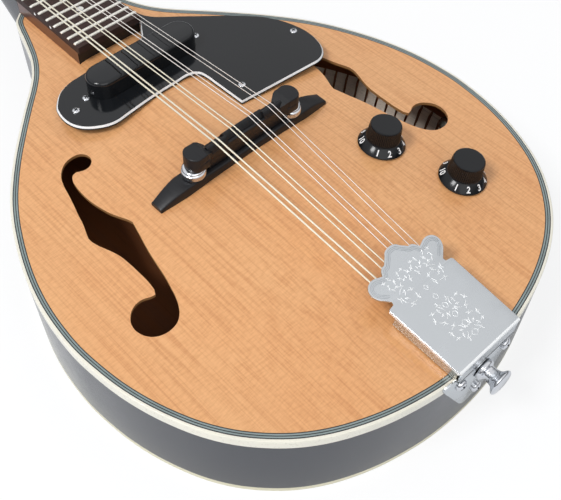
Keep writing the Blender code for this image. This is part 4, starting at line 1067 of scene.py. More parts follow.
@dataclass
class Body:
    """The hollow body: soundboard, rim, back, bindings and what lies inside."""

    rim_thickness: float = 0.0026
    back_thickness: float = 0.003
    thin_top: float = 0.0018
    binding_depth: float = 0.006
    rings: int = 30
    kerf_pitch: float = 0.0074
    back_line_rise: float = 0.0008
    kerf_width: float = 0.0012
    lining_width: float = 0.006
    lining_edge: float = 0.0037
    end_pin_drop: float = 0.009
    pin_bore: float = 0.0026
    socket_bore: float = 0.0054
    knob_bore: float = 0.0042
    top_lining_depth: float = 0.0117
    back_lining_depth: float = 0.0185
    lining_web: float = 0.0030
    lining_stop: float = 0.041
    thick_from: float = 0.90
    thick_run: float = 0.06
    f_hole: tuple[Point2, ...] = (
        (65.8, 54.1), (70.1, 53.5), (74.4, 50.7), (77.5, 47.0), (79.7, 41.9), (81.4, 35.5), (83.3, 28.5),
        (85.6, 21.0), (87.7, 13.4), (89.6, 8.4), (90.7, 5.3), (90.7, 2.4), (89.7, -1.8), (87.9, -7.2),
        (86.3, -12.8), (85.6, -19.7), (85.4, -27.3), (85.5, -34.8), (86.1, -39.7), (87.5, -42.1),
        (89.7, -41.6), (92.8, -40.1), (95.8, -39.7), (99.5, -40.6), (102.5, -42.9), (104.8, -46.3),
        (105.5, -50.0), (104.6, -54.4), (101.9, -58.3), (98.2, -60.5), (93.9, -61.2), (89.6, -60.4),
        (86.0, -57.7), (83.2, -53.5), (81.2, -48.7), (79.8, -43.8), (78.2, -37.7), (76.5, -29.1),
        (74.3, -19.2), (72.2, -11.8), (70.9, -6.9), (69.7, -2.5), (70.3, 0.1), (72.1, 4.6), (74.1, 9.9),
        (75.5, 16.4), (76.4, 22.9), (76.5, 29.4), (75.9, 35.8), (74.6, 40.9), (72.7, 43.4), (70.3, 44.0),
        (68.5, 42.9), (66.1, 41.9), (63.0, 42.1), (60.6, 43.9), (59.4, 46.4), (59.6, 49.7), (61.0, 52.2),
        (63.4, 53.7))
    f_hole_corners: tuple[int, ...] = (10, 11, 18, 19, 41, 51)

    def band(self, section: Sequence[Point2], finishes: Sequence[int] = ()) -> BMesh:
        """A closed band that follows the whole plan.

        Args:
            section: pairs of offset and height, round the band's section.
            finishes: material index of each step of the section.
        Returns:
            The new mesh.
        """
        rows = [raised(LINES.plan(offset), height) for offset, height in section]
        return skin(rows, loop=True, finishes=finishes)

    def soundboard(self) -> None:
        """The arched soundboard with its f-holes, cut edges in spruce colour darkened with painted shade."""
        plan = LINES.plan(-SEAM)
        centre = Vector((0, LINES.centre))
        shares = [1 - (1 - k / self.rings) ** 1.15 for k in range(1, self.rings + 1)]

        def row(t: float, drop: float) -> list[Point3]:
            """One ring of the board.

            Args:
                t: share of the way out.
                drop: depth under the outside.
            Returns:
                The ring's points.
            """
            points = []
            for x, y in plan:
                angle = math.atan2(x, LINES.centre - y)
                height = LINES.depth + LINES.arch * LINES.arch_share(t, angle) - drop
                points.append((x * t, centre.y + (y - centre.y) * t, height))
            return points

        def depth(t: float) -> float:
            """Thickness of the board: full over the linings, thinner inside them."""
            share = max(0.0, min(1.0, (t - self.thick_from) / self.thick_run))
            return self.thin_top + (LINES.top_thickness - self.thin_top) * share

        rows = [row(t, 0.0) for t in shares] + [row(t, depth(t)) for t in reversed(shares)]
        finishes = [0] * (self.rings - 1) + [1] * self.rings
        bm = skin(rows, caps=False, finishes=finishes)
        for level, index in ((0.0, 0), (self.thin_top, 1)):
            inner = row(shares[0], level)
            wanted = {tuple(round(c, 6) for c in point) for point in inner}
            ring = [v for v in bm.verts if tuple(round(c, 6) for c in v.co) in wanted]
            edges = [e for e in bm.edges if e.verts[0] in ring and e.verts[1] in ring and e.is_boundary]
            before = set(bm.faces)
            made = bmesh.ops.extrude_edge_only(bm, edges=edges)
            middle = (0, centre.y, LINES.depth + LINES.arch - level)
            bmesh.ops.pointmerge(bm, verts=new_verts(made), merge_co=middle)
            for face in set(bm.faces) - before:
                face.material_index = index
        board = as_object(bm, "soundboard_arched", (SPRUCE, SPRUCE_INSIDE))
        # Cut edges of the f-holes and the knob bores take spruce darkened with painted shade.
        for side in Side:
            outline = [(side.value * x * MM, y * MM) for x, y in self.f_hole]
            line = smooth_path(outline, 4, closed=True, sharp=self.f_hole_corners)
            tool = slab(in_plan(line), LINES.depth - 0.01, LINES.depth + 0.02)
            carved(board, tool, SPRUCE_CUT_SHADED)
        for place in (Controls.volume_place, Controls.tone_place):
            tool = cylinder(self.knob_bore, -0.009, 0.009, 32, LINES.top_frame(*place))
            carved(board, tool, SPRUCE_CUT_SHADED)
        dressed(board, "body", "soundboard", 30.0, stands=True)

    def trim(self) -> None:
        """Purfling lines and the cream bindings, the back one a darker copy of the cream for painted shade.
        """
        top, wide = LINES.depth, LINES.purfling
        marks = (0.0, 0.00045, 0.00115, 0.0016, 0.0023, wide)
        colours = (0, 1, 0, 1, 0)
        section = [(mark + (SEAM if k == 0 else 0), top) for k, mark in enumerate(marks)]
        section += [(wide, top - LINES.top_thickness), (SEAM, top - LINES.top_thickness)]
        finished(self.band(section, colours + (0, 0, 0)), "purfling_lines", "body", "top_purfling",
                 BLACK_LINE, TEAL_LINE, stands=True)
        inner, outer = wide + SEAM, LINES.edge
        low = top - self.binding_depth
        curve = [(outer - 0.0006 + 0.0006 * sin(a), top - 0.0006 + 0.0006 * cos(a))
                 for a in angles(90, 4)]
        section = [(inner, top)] + curve + [(outer, low), (inner, low)]
        finished(self.band(section), "binding_top", "body", "top_binding", BINDING, stands=True)
        curve = [(outer - 0.0007 + 0.0007 * cos(a), 0.0007 - 0.0007 * sin(a))
                 for a in angles(90, 4)]
        inside, low = outer - 0.0012, self.back_thickness + self.back_line_rise
        section = [(inner, self.back_thickness), (inside, self.back_thickness), (inside, low), (outer, low)]
        section += curve + [(inner, 0.0)]
        # The back binding takes the darker copy of the cream: painted shade.
        finished(self.band(section), "binding_back", "body", "back_binding", BINDING_SHADED, stands=True)

    def rim(self) -> None:
        """The dark rim, with holes for the end pin and the output socket."""
        low, high = self.back_thickness + SEAM, LINES.depth - self.binding_depth - SEAM
        inner, outer, step = LINES.edge - self.rim_thickness, LINES.edge, LINES.purfling - SEAM
        seat = LINES.depth - LINES.top_thickness - SEAM
        lip = low + self.back_line_rise
        section = [(outer - 0.0012 - SEAM, low), (outer - 0.0012 - SEAM, lip), (outer, lip),
                   (outer, low + 0.012), (outer, low + 0.025), (outer, low + 0.036), (outer, high),
                   (step, high), (step, seat), (inner, seat), (inner, low)]
        rim = as_object(self.band(section, (0, 0, 0, 0, 0, 0, 1, 1, 1, 1, 1)), "rim_bent", (LACQUER, INSIDE))
        pin = put(0, LINES.tail, LINES.depth - self.end_pin_drop) @ spin(90, "X")
        for radius, place in ((self.pin_bore, pin), (self.socket_bore, Controls.socket_frame())):
            tool = cylinder(radius, -0.03, 0.01, 32, place)
            carved(rim, tool, INSIDE)
        dressed(rim, "body", "rim", stands=True)

    def back(self) -> None:
        """The flat back, lacquered outside and dark inside."""
        plan = LINES.plan(LINES.purfling - SEAM)
        rows = [raised(plan, level) for level in (0.0002, self.back_thickness)]
        bm = skin(rows)
        for face in bm.faces:
            if min(v.co.z for v in face.verts) > self.back_thickness - WELD:
                face.material_index = 1
        finished(bm, "back_panel", "body", "back_plate", LACQUER, INSIDE, stands=True)

    def lining(self, name: str, node: str, seat: float, toe: float) -> None:
        """A kerfed lining: a strip sawn into blocks that share a thin web.

        Args:
            name: the piece's name.
            node: the frame part it stands for.
            seat: height of the broad edge.
            toe: height of the feathered edge against the rim.
        """
        outer = LINES.edge - self.rim_thickness - SEAM
        web, full = outer - self.lining_web, outer - self.lining_width
        edge = seat + math.copysign(self.lining_edge, toe - seat)
        plans = {offset: [Vector(p) for p in LINES.plan(offset)] for offset in (outer, web, full)}
        base = plans[outer]
        stop = LINES.neck - LINES.edge - self.lining_stop
        order = [i for i in range(len(base) // 2, len(base)) if base[i].y < stop]
        order += [i for i in range(len(base) // 2) if base[i].y < stop]
        lengths = [0.0]
        for a, b in zip(order, order[1:]):
            lengths.append(lengths[-1] + (base[b] - base[a]).length)

        def at(offset: float, distance: float) -> Vector:
            """The plan's point at a distance along the strip.

            Args:
                offset: the plan, by its offset.
                distance: from the strip's start.
            Returns:
                The point.
            """
            for k in range(len(order) - 1):
                if lengths[k + 1] >= distance:
                    share = (distance - lengths[k]) / max(lengths[k + 1] - lengths[k], 1e-9)
                    return plans[offset][order[k]].lerp(plans[offset][order[k + 1]], share)
            return plans[offset][order[-1]]
        rows = []
        blocks = int(lengths[-1] / self.kerf_pitch)
        for block in range(blocks):
            start = block * self.kerf_pitch
            end = start + self.kerf_pitch - self.kerf_width
            for distance, inside in ((start, full), (end, full), (end + 0.0001, web),
                                     (start + self.kerf_pitch - 0.0001, web)):
                out, deep = at(outer, distance), at(inside, distance)
                low = edge if inside == full else toe + (edge - toe) * 0.12
                rows.append([(*out, seat), (*deep, seat), (*deep, low), (*out, toe)])
        marks = [0 if k % 4 == 0 else 1 for k in range(len(rows) - 1)]
        finished(skin(rows, finishes=marks), name, "body", node, LINING, LINING_SLOT, angle=20.0, stands=True)

    def build(self) -> None:
        """Build the body and dress the parts inside it."""
        self.soundboard()
        self.trim()
        self.rim()
        self.back()
        floor = self.back_thickness + SEAM
        seat = LINES.depth - LINES.top_thickness - SEAM
        self.lining("lining_under_top", "top_lining", seat, seat - self.top_lining_depth)
        self.lining("lining_over_back", "back_lining", floor, floor + self.back_lining_depth)
        for node in ("neck_block", "tail_block", "tone_bar_bass", "tone_bar_treble"):
            repainted(node, SPRUCE_INSIDE)


# Neck
@dataclass(frozen=True)
class NeckLines:
    """The lines of the neck, the fingerboard and the headstock."""

    scale: float = 0.352
    frets: int = 20
    thickness: float = 0.0045
    rise: float = 0.0153
    slope: float = 0.043
    overhang: float = 0.0042
    end_width: float = 0.0428
    nut_width: float = 0.0286
    nut_length: float = 0.0045
    gap: float = 0.0003
    angle: float = 12.0

    def fret(self, number: int) -> float:
        """Y of a fret."""
        return self.scale * 2 ** (-number / 12)

    @property
    def board_end(self) -> float:
        """Y of the fingerboard's end over the body."""
        return self.fret(self.frets) - self.overhang

    @property
    def head_start(self) -> float:
        """Y where the headstock begins."""
        return self.scale + self.nut_length + self.gap

    def board_top(self, y: float) -> float:
        """Height of the fingerboard's playing face."""
        return LINES.depth + self.rise - self.slope * (y - self.fret(self.frets))

    def neck_top(self, y: float) -> float:
        """Height of the neck's flat face under the board."""
        return self.board_top(y) - self.thickness - self.gap

    def half_width(self, y: float) -> float:
        """Half of the board's width.

        Args:
            y: place along.
        Returns:
            The half width.
        """
        last = self.fret(self.frets)
        share = (y - last) / (self.scale - last)
        return (self.end_width + (self.nut_width - self.end_width) * share) / 2

    def head_frame(self) -> Matrix:
        """A frame at the nut with Y up the headstock and Z out of its face.

        Returns:
            The frame.
        """
        tilt = math.atan(self.slope) + radians(self.angle)
        place = put(0, self.head_start, self.neck_top(self.head_start))
        return place @ Matrix.Rotation(-tilt, 4, "X")


NECK = NeckLines()


@dataclass
class Neck:
    """The neck with its headstock, fingerboard, frets, nut and riser."""

    heel_floor: float = 0.004
    neck_depth: float = 0.016
    head_thickness: float = 0.0145
    fret_height: float = 0.001
    fret_width: float = 0.0019
    slot_half: float = 0.0026
    slot_depth: float = 0.007
    dot_radius: float = 0.0024
    last_dot_radius: float = 0.0022
    side_dot_radius: float = 0.0009
    dot_spread: float = 0.0065
    heel_run: tuple[Point2, ...] = ((0.0, 1.0), (0.010, 0.93), (0.019, 0.74), (0.028, 0.52), (0.038, 0.37),
                                    (0.050, 0.30))
    dots: tuple[int, ...] = (3, 5, 7, 10, 12, 15, 17)
    headstock: tuple[Point2, ...] = (
        (14.6, 0.0), (15.6, 6.0), (19.5, 12.0), (26.5, 17.0), (31.5, 22.0), (33.6, 29.0), (34.0, 38.0),
        (33.2, 62.0), (31.8, 90.0), (30.6, 104.0), (31.4, 111.0), (33.2, 117.0), (32.4, 123.0),
        (28.0, 126.6), (21.0, 127.2), (14.0, 128.4), (8.5, 131.4), (3.6, 134.8), (0.0, 135.5))

    def section(self, y: float, depth: float, steps: int = 36) -> list[Point3]:
        """The neck's outline across, at a place along it.

        Args:
            y: the place.
            depth: from the flat face to the back.
            steps: edges round the back.
        Returns:
            The points, from one side round the back to the other.
        """
        top, half = NECK.neck_top(y), NECK.half_width(y)
        points = [(half, y, top)]
        for k in range(steps + 1):
            angle = pi * k / steps
            points.append((half * cos(angle), y, top - 0.001 - (depth - 0.001) * sin(angle) ** 0.85))
        return points + [(-half, y, top)]

    def neck(self) -> None:
        """The neck and headstock in one piece, lacquered."""
        heel = LINES.neck + NECK.gap
        full = NECK.neck_top(heel) - self.heel_floor
        depths = [(heel + along, full * share) for along, share in self.heel_run]
        run = heel + self.heel_run[-1][0]
        for share in (0.25, 0.5, 0.75, 0.97):
            depths.append((run + (NECK.scale - run) * share,
                           self.neck_depth * (1 - 0.08 * share)))
        depths.append((NECK.head_start, self.head_thickness * 1.02))
        line = smooth_path([(y, depth) for y, depth in depths], 5)
        rows = [self.section(point.x, point.y) for point in line]
        end = NECK.head_start + 0.0008
        rows.append(self.section(end, self.head_thickness * 0.95))
        neck = as_object(skin(rows), "neck_carved", (LACQUER,))
        right = [(max(x * MM, NECK.nut_width / 2 if y < 1 else 0.0), y * MM) for x, y in self.headstock]
        whole = mirrored(right, 0, -1)
        line = smooth_path(whole, 4, sharp=(0, len(whole) - 1))
        head = slab(in_plan(line), -self.head_thickness, 0.0)
        rounded(head, 0.0009, 3, 60.0, lambda edge: abs(edge.verts[0].co.z - edge.verts[1].co.z) < WELD
                and edge.verts[0].co.y + edge.verts[1].co.y > 0.004)
        moved(head, NECK.head_frame())
        merged(neck, head, LACQUER)
        bores = []
        for machine in TUNERS.places():
            place = NECK.head_frame() @ put(machine[2], machine[3], 0)
            bores.append(cylinder(TUNERS.post_bore, -0.03, 0.01, 28, place))
        carved(neck, joined(bores), INSIDE)
        start, stop = heel + 0.012, NECK.head_start + 0.020
        half, deep = self.slot_half, self.slot_depth
        rows = [[(x, y, NECK.neck_top(y) + dz) for x, dz in ((-half, 0.002), (half, 0.002), (half, -deep),
                                                             (-half, -deep))]
                for y in (start, stop)]
        carved(neck, skin(rows), INSIDE)
        dressed(neck, "body", "neck", stands=True)
        repainted("truss_rod", DARK_STEEL)

    def board(self) -> None:
        """The rosewood fingerboard with its inlays, side dots and frets."""
        low, high = NECK.board_end, NECK.scale - 0.00003
        rows = []
        for y in (low, high):
            half, top = NECK.half_width(y), NECK.board_top(y)
            rows.append([(-half, y, top - NECK.thickness), (half, y, top - NECK.thickness), (half, y, top),
                         (-half, y, top)])
        bm = rounded(skin(rows), 0.0003, 2, 40.0,
                     lambda edge: edge.verts[0].co.z > NECK.neck_top(edge.verts[0].co.y) + 0.002)
        board = as_object(bm, "fingerboard", (ROSEWOOD,))
        tilt = Matrix.Rotation(-math.atan(NECK.slope), 4, "X")
        spots, side_spots = [], []
        for number in self.dots:
            y = (NECK.fret(number) + NECK.fret(number - 1)) / 2
            for x in ((-self.dot_spread, self.dot_spread) if number == 12 else (0.0,)):
                place = put(x, y, NECK.board_top(y)) @ tilt
                radius = self.dot_radius if number < self.dots[-1] else self.last_dot_radius
                spots.append(turned(((0, -0.001), (radius, -0.001), (radius, 0.00003),
                                     (radius * 0.9, 0.00006), (0, 0.00006)), 32, place))
                place = put(-NECK.half_width(y), y + x * 0.4, NECK.board_top(y) - 0.0022)
                place = place @ spin(-90, "Y")
                side_spots.append(cylinder(self.side_dot_radius, -0.001, 0.00004, 20, place))
        dressed(board, "body", "fretboard", stands=True)
        finished(joined(spots), "position_dots", "body", "fretboard", PEARL)
        finished(joined(side_spots), "side_dots", "body", "fretboard", WHITE_PLY)
        wires = []
        for number in range(1, NECK.frets + 1):
            y = NECK.fret(number)
            half = NECK.half_width(y) - 0.0001
            arc = [(self.fret_width / 2 * cos(a), self.fret_height * (0.12 + 0.88 * sin(a)))
                   for a in angles(180, 8)]
            shape = [(self.fret_width / 2, -0.0002)] + arc + [(-self.fret_width / 2, -0.0002)]
            rows = []
            for x, shrink in ((-half, 0.55), (-half + 0.0006, 0.92), (-half + 0.0012, 1.0),
                              (half - 0.0012, 1.0), (half - 0.0006, 0.92), (half, 0.55)):
                rows.append([(x, y + dy, NECK.board_top(y + dy) + dz * (shrink if dz > 0 else 1))
                             for dy, dz in shape])
            wires.append(skin(rows))
        finished(joined(wires), "fret_wires", "body", "fretboard", FRET_WIRE, angle=50.0)

    def nut(self) -> None:
        """The bone nut, with a slot under each string."""
        start, end = NECK.scale, NECK.scale + NECK.nut_length
        top = NECK.board_top(start) + 0.0006
        base = NECK.neck_top(start) + NECK.gap
        wide = NECK.half_width(start)
        section = ((start, base), (start, top), (end - 0.001, top - 0.0006), (end, top - 0.0016), (end, base))
        rows = [[(x, y, z) for y, z in section] for x in (-wide, wide)]
        block = as_object(rounded(skin(rows), 0.0003, 3, 25.0), "nut_bone", (BONE,))
        cuts = []
        for _, side, index in Strings.courses():
            x, radius = side.value * Strings.at_nut[index], Strings.radius_of(side, index)
            z = top + radius + 0.0001
            cuts.append(rod(((x, start - 0.003, z + 0.0001), (x, end + 0.003, z - 0.0012)), radius + 0.00012,
                            12))
        carved(block, joined(cuts), BONE)
        dressed(block, "body", "nut", stands=True)

    def riser(self) -> None:
        """The brown riser that carries the fingerboard over the soundboard."""
        start, end = NECK.board_end + 0.002, LINES.neck
        rows = []
        for k in range(25):
            y = start + (end - start) * k / 24
            half, top = NECK.half_width(y), NECK.neck_top(y)
            low = [(half * s, y, LINES.top(half * s, y) + SEAM) for s in (j / 8 - 1 for j in range(17))]
            rows.append(low + [(half, y, top + 0.00027), (-half, y, top + 0.00027)])
        bm = skin(rows)
        for face in bm.faces:
            if all(abs(v.co.y - start) < WELD for v in face.verts):
                face.material_index = 1
        finished(bm, "riser_block", "body", "riser", RISER, EBONISED, stands=True)

    def truss_cover(self) -> None:
        """The bell-shaped cover over the truss rod's nut."""
        half = [(10.5, 3.0), (10.5, 9.0), (9.0, 14.0), (6.8, 19.0), (5.2, 25.0), (3.0, 29.0)]
        whole = mirrored([(x * MM, y * MM) for x, y in half])
        line = smooth_path(whole, 5, closed=True, sharp=(0, 1, len(whole) - 2, len(whole) - 1))
        plan = in_plan(line)
        rows = [raised(plan_offset(plan, -inset), z)
                for inset, z in ((0.0, 0.0003), (0.0, 0.0009), (0.0004, 0.0014), (0.0008, 0.0019))]
        bm = skin(rows, finishes=(0, 1, 0))
        moved(bm, NECK.head_frame())
        finished(bm, "truss_cover", "body", "truss_rod_cover", PLASTIC, WHITE_PLY, stands=True)
        screws = [pan_screw(NECK.head_frame() @ put(x, y, 0.0019), 0.0014, 0.0008)
                  for x, y in ((-0.0078, 0.0062), (0.0078, 0.0062), (0.0, 0.0255))]
        finished(joined(screws), "truss_cover_screws", "body", "truss_rod_cover", CHROME, DARK_STEEL)

    def build(self) -> None:
        """Build the neck and everything on it."""
        self.neck()
        self.board()
        self.nut()
        self.riser()
        self.truss_cover()


# Tuning machines
@dataclass
class Tuners:
    """Eight worm-and-wheel tuning machines on two plates."""

    pitch: float = 0.023
    start: float = 0.030
    spread: float = 0.045
    plate_top: float = -0.0148
    plate_base: float = -0.0160
    plate_width: float = 0.017
    gear_top: float = -0.0173
    gear_middle: float = -0.0188
    gear_radius: float = 0.0053
    tooth: float = 0.0008
    teeth: int = 14
    worm_offset: float = 0.0076
    worm_radius: float = 0.0021
    post_radius: float = 0.003
    post_height: float = 0.0125
    shaft_radius: float = 0.0013
    reach: float = 0.0235
    button_length: float = 0.012
    post_bore: float = 0.0034
    worm_half: float = 0.0024
    worm_turns: float = 2.0
    plate_corner: float = 0.0025

    @property
    def thread(self) -> float:
        """Rise of the worm's thread in one turn."""
        return TAU * self.gear_radius / self.teeth

    def places(self) -> list[tuple[str, Side, float, float]]:
        """Name, side, place across and place up the headstock of each machine.

        Returns:
            A row for each machine.
        """
        return [(f"{side.name.lower()}_{k + 1}", side, side.value * self.spread / 2,
                 self.start + k * self.pitch)
                for side in Side for k in range(4)]

    def post(self, name: str, x: float, up: float) -> None:
        """A string post with its wheel and the screw that holds it.

        Args:
            name: the machine's name.
            x: place across the headstock.
            up: place up the headstock.
        """
        place = NECK.head_frame() @ put(x, up, 0)
        radius, waist, tall = self.post_radius, self.post_radius * 0.86, self.post_height
        low = self.gear_top - 0.0031
        profile = ((0, low), (0.0021, low), (0.0021, self.gear_top + 0.0002),
                   (radius, self.gear_top + 0.0002), (radius, 0.0041), (radius * 0.96, 0.0046),
                   (waist, 0.0052), (waist, 0.0093), (radius * 0.97, 0.0102), (radius, 0.0105),
                   (radius, tall - 0.0006), (radius * 0.93, tall - 0.0002), (radius * 0.8, tall), (0, tall))
        shaft = as_object(turned(profile, 36), "post_shaft", (CHROME,))
        hole = cylinder(0.0008, -0.005, 0.005, 16,
                        put(0, 0, 0.0114) @ spin(90, "Y"))
        carved(shaft, hole, DARK_STEEL)
        bm = loose(shaft)
        step = TAU / self.teeth
        lean = 0.003 * self.thread / (TAU * self.worm_radius) / self.gear_radius
        rows = []
        for level, twist, shrink in ((self.gear_top - 0.003, lean / 2, 0.97),
                                     (self.gear_top - 0.0027, lean * 0.4, 1.0),
                                     (self.gear_top - 0.0003, -lean * 0.4, 1.0),
                                     (self.gear_top, -lean / 2, 0.97)):
            row = []
            for k in range(self.teeth):
                for shift, size in ((-0.27, -0.5), (-0.19, 0.2), (-0.11, 0.5), (0.11, 0.5), (0.19, 0.2),
                                    (0.27, -0.5)):
                    angle = pi / 2 + k * step + twist + shift * step
                    reach = (self.gear_radius + size * self.tooth) * shrink
                    row.append((reach * cos(angle), reach * sin(angle), level))
            rows.append(row)
        wheel = skin(rows)
        screw = pan_screw(put(0, 0, low + 0.0001) @ spin(180, "X"), 0.0024, 0.0009)
        whole = moved(joined((bm, wheel, screw)), place)
        finished(whole, "post_" + name, f"post_{name}_body", "tuner_post_" + name, CHROME, DARK_STEEL,
                 stands=True)
        collar = ((0.0032, 0.0), (0.0032, 0.0009), (0.0036, 0.0012), (0.0044, 0.0009), (0.0049, 0.00005),
                  (0.0032, 0.0))
        finished(turned(collar, 36, place), "bushing_" + name, "body", "neck", NICKEL)

    def key(self, name: str, side: Side, x: float, up: float) -> None:
        """A worm on its shaft, with an oval button.

        Args:
            name: the machine's name.
            side: the side that the button points to.
            x: place across the headstock.
            up: place up the headstock.
        """
        place = NECK.head_frame() @ put(x, up + self.worm_offset, self.gear_middle)
        place = place @ spin(90 * side.value, "Y")
        core, crest = self.worm_radius - self.tooth / 2, self.worm_radius + self.tooth / 2
        shaft = self.shaft_radius
        profile = ((0, -0.0052), (shaft * 0.8, -0.0052), (shaft, -0.0049), (shaft, -0.003), (core, -0.003),
                   (core, 0.003), (shaft, 0.003), (shaft, self.reach - 0.0042), (0.0024, self.reach - 0.0038),
                   (0.0030, self.reach - 0.0032), (0.0030, self.reach - 0.0006),
                   (0.0024, self.reach + 0.0004), (0, self.reach + 0.0004))
        rod_part = turned(profile, 28)
        ridge = bmesh.new()
        high, turns, steps = self.worm_half, self.worm_turns, 56
        section = [(core - 0.0002, high - 0.00064), (crest, high - 0.0003), (crest, high + 0.0003),
                   (core - 0.0002, high + 0.00064)]
        first = start_line(ridge, [(radius, 0, height) for radius, height in section])
        made = bmesh.ops.spin(ridge, geom=list(ridge.verts) + list(ridge.edges), axis=(0, 0, 1),
                              cent=(0, 0, 0), dvec=(0, 0, -self.thread * turns / steps), angle=TAU * turns,
                              steps=steps)
        ridge.faces.new(first)
        last = [item for item in made["geom_last"] if isinstance(item, BMVert)]
        bmesh.ops.contextual_create(ridge, geom=last)
        begin = -pi / 2 + TAU * (0.5 - high / self.thread)
        bmesh.ops.rotate(ridge, cent=(0, 0, 0), matrix=Matrix.Rotation(begin, 3, "Z"), verts=ridge.verts)
        sizes = smooth_path(((0.0, 0.0022, 0.0020), (0.06, 0.0040, 0.0027), (0.28, 0.0066, 0.0032),
                             (0.6, 0.0072, 0.0031), (0.86, 0.0062, 0.0025), (0.97, 0.0038, 0.0016),
                             (1.0, 0.0014, 0.0007)), 4)
        rows = []
        for size in sizes:
            level = self.reach + 0.0002 + self.button_length * size.x
            row = []
            for k in range(32):
                c, s = cos(TAU * k / 32), sin(TAU * k / 32)
                row.append((size.z * math.copysign(abs(c) ** 0.75, c),
                            size.y * math.copysign(abs(s) ** 0.75, s), level))
            rows.append(row)
        button = second_finish(skin(rows))
        whole = moved(joined((rod_part, ridge, button)), place)
        finished(whole, "key_" + name, f"key_{name}_body", "tuner_key_" + name, CHROME_SOFT, BUTTON,
                 stands=True)

    def plate(self, side: Side) -> None:
        """The plate that carries one side's four machines.

        Args:
            side: the side of the headstock.
        """
        half, x0 = self.plate_width / 2, side.value * self.spread / 2
        low, high = self.start - 0.008, self.start + 3 * self.pitch + self.worm_offset + 0.0055
        corner = self.plate_corner
        plan = [(x0 + way * (half - corner) + corner * cos(radians(angle)),
                 (high - corner if upper else low + corner) + corner * sin(radians(angle)))
                for way, upper, first in ((1, False, -90), (1, True, 0), (-1, True, 90), (-1, False, 180))
                for angle in (first + 18 * k for k in range(6))]
        plate = as_object(rounded(slab(plan, self.plate_base, self.plate_top + 0.00027), 0.0002, 2, 60.0),
                          "machine_plate_" + side.name.lower(), (CHROME,))
        cheeks, cuts, screws = [], [], []
        reach = self.worm_radius + 0.0009
        down = spin(180, "X")
        for k in range(4):
            up = self.start + k * self.pitch
            cuts.append(cylinder(self.post_bore, -0.03, 0, 28, put(x0, up, 0)))
            for way in (-1, 1):
                near, far = sorted((x0 + way * 0.0033, x0 + way * 0.0048))
                middle = up + self.worm_offset
                arch = [(middle + reach * cos(a), self.gear_middle - reach * sin(a))
                        for a in angles(180, 12)]
                side_plan = arch + [(middle - reach, self.plate_base + 0.0005),
                                    (middle + reach, self.plate_base + 0.0005)]
                cheeks.append(rounded(skin([[(xx, y, z) for y, z in side_plan] for xx in (near, far)]),
                                      0.00015, 1, 60.0))
            bore = put(x0, up + self.worm_offset, self.gear_middle) @ spin(90, "Y")
            cuts.append(cylinder(0.0014, -0.007, 0.007, 24, bore))
            spots = [(x0 - 0.0055, up + 0.0142), (x0 + 0.0055, up + 0.0142)] if k < 3 else []
            if k == 0:
                spots += [(x0 - 0.0060, up - 0.0053), (x0 + 0.0060, up - 0.0053)]
            for spot in spots:
                screws.append(pan_screw(put(*spot, self.plate_base) @ down, 0.0013, 0.0007))
        merged(plate, joined(cheeks), CHROME)
        carved(plate, joined(cuts), DARK_STEEL)
        plate.data.transform(NECK.head_frame())
        node = "tuner_plate_" + side.name.lower()
        dressed(plate, "body", node, stands=True)
        whole = moved(joined(screws), NECK.head_frame())
        finished(whole, "plate_screws_" + side.name.lower(), "body", node, CHROME, DARK_STEEL)

    def build(self) -> None:
        """Build both plates and all eight machines."""
        for side in Side:
            self.plate(side)
        for name, side, x, up in self.places():
            self.post(name, x, up)
            self.key(name, side, x, up)


TUNERS = Tuners()


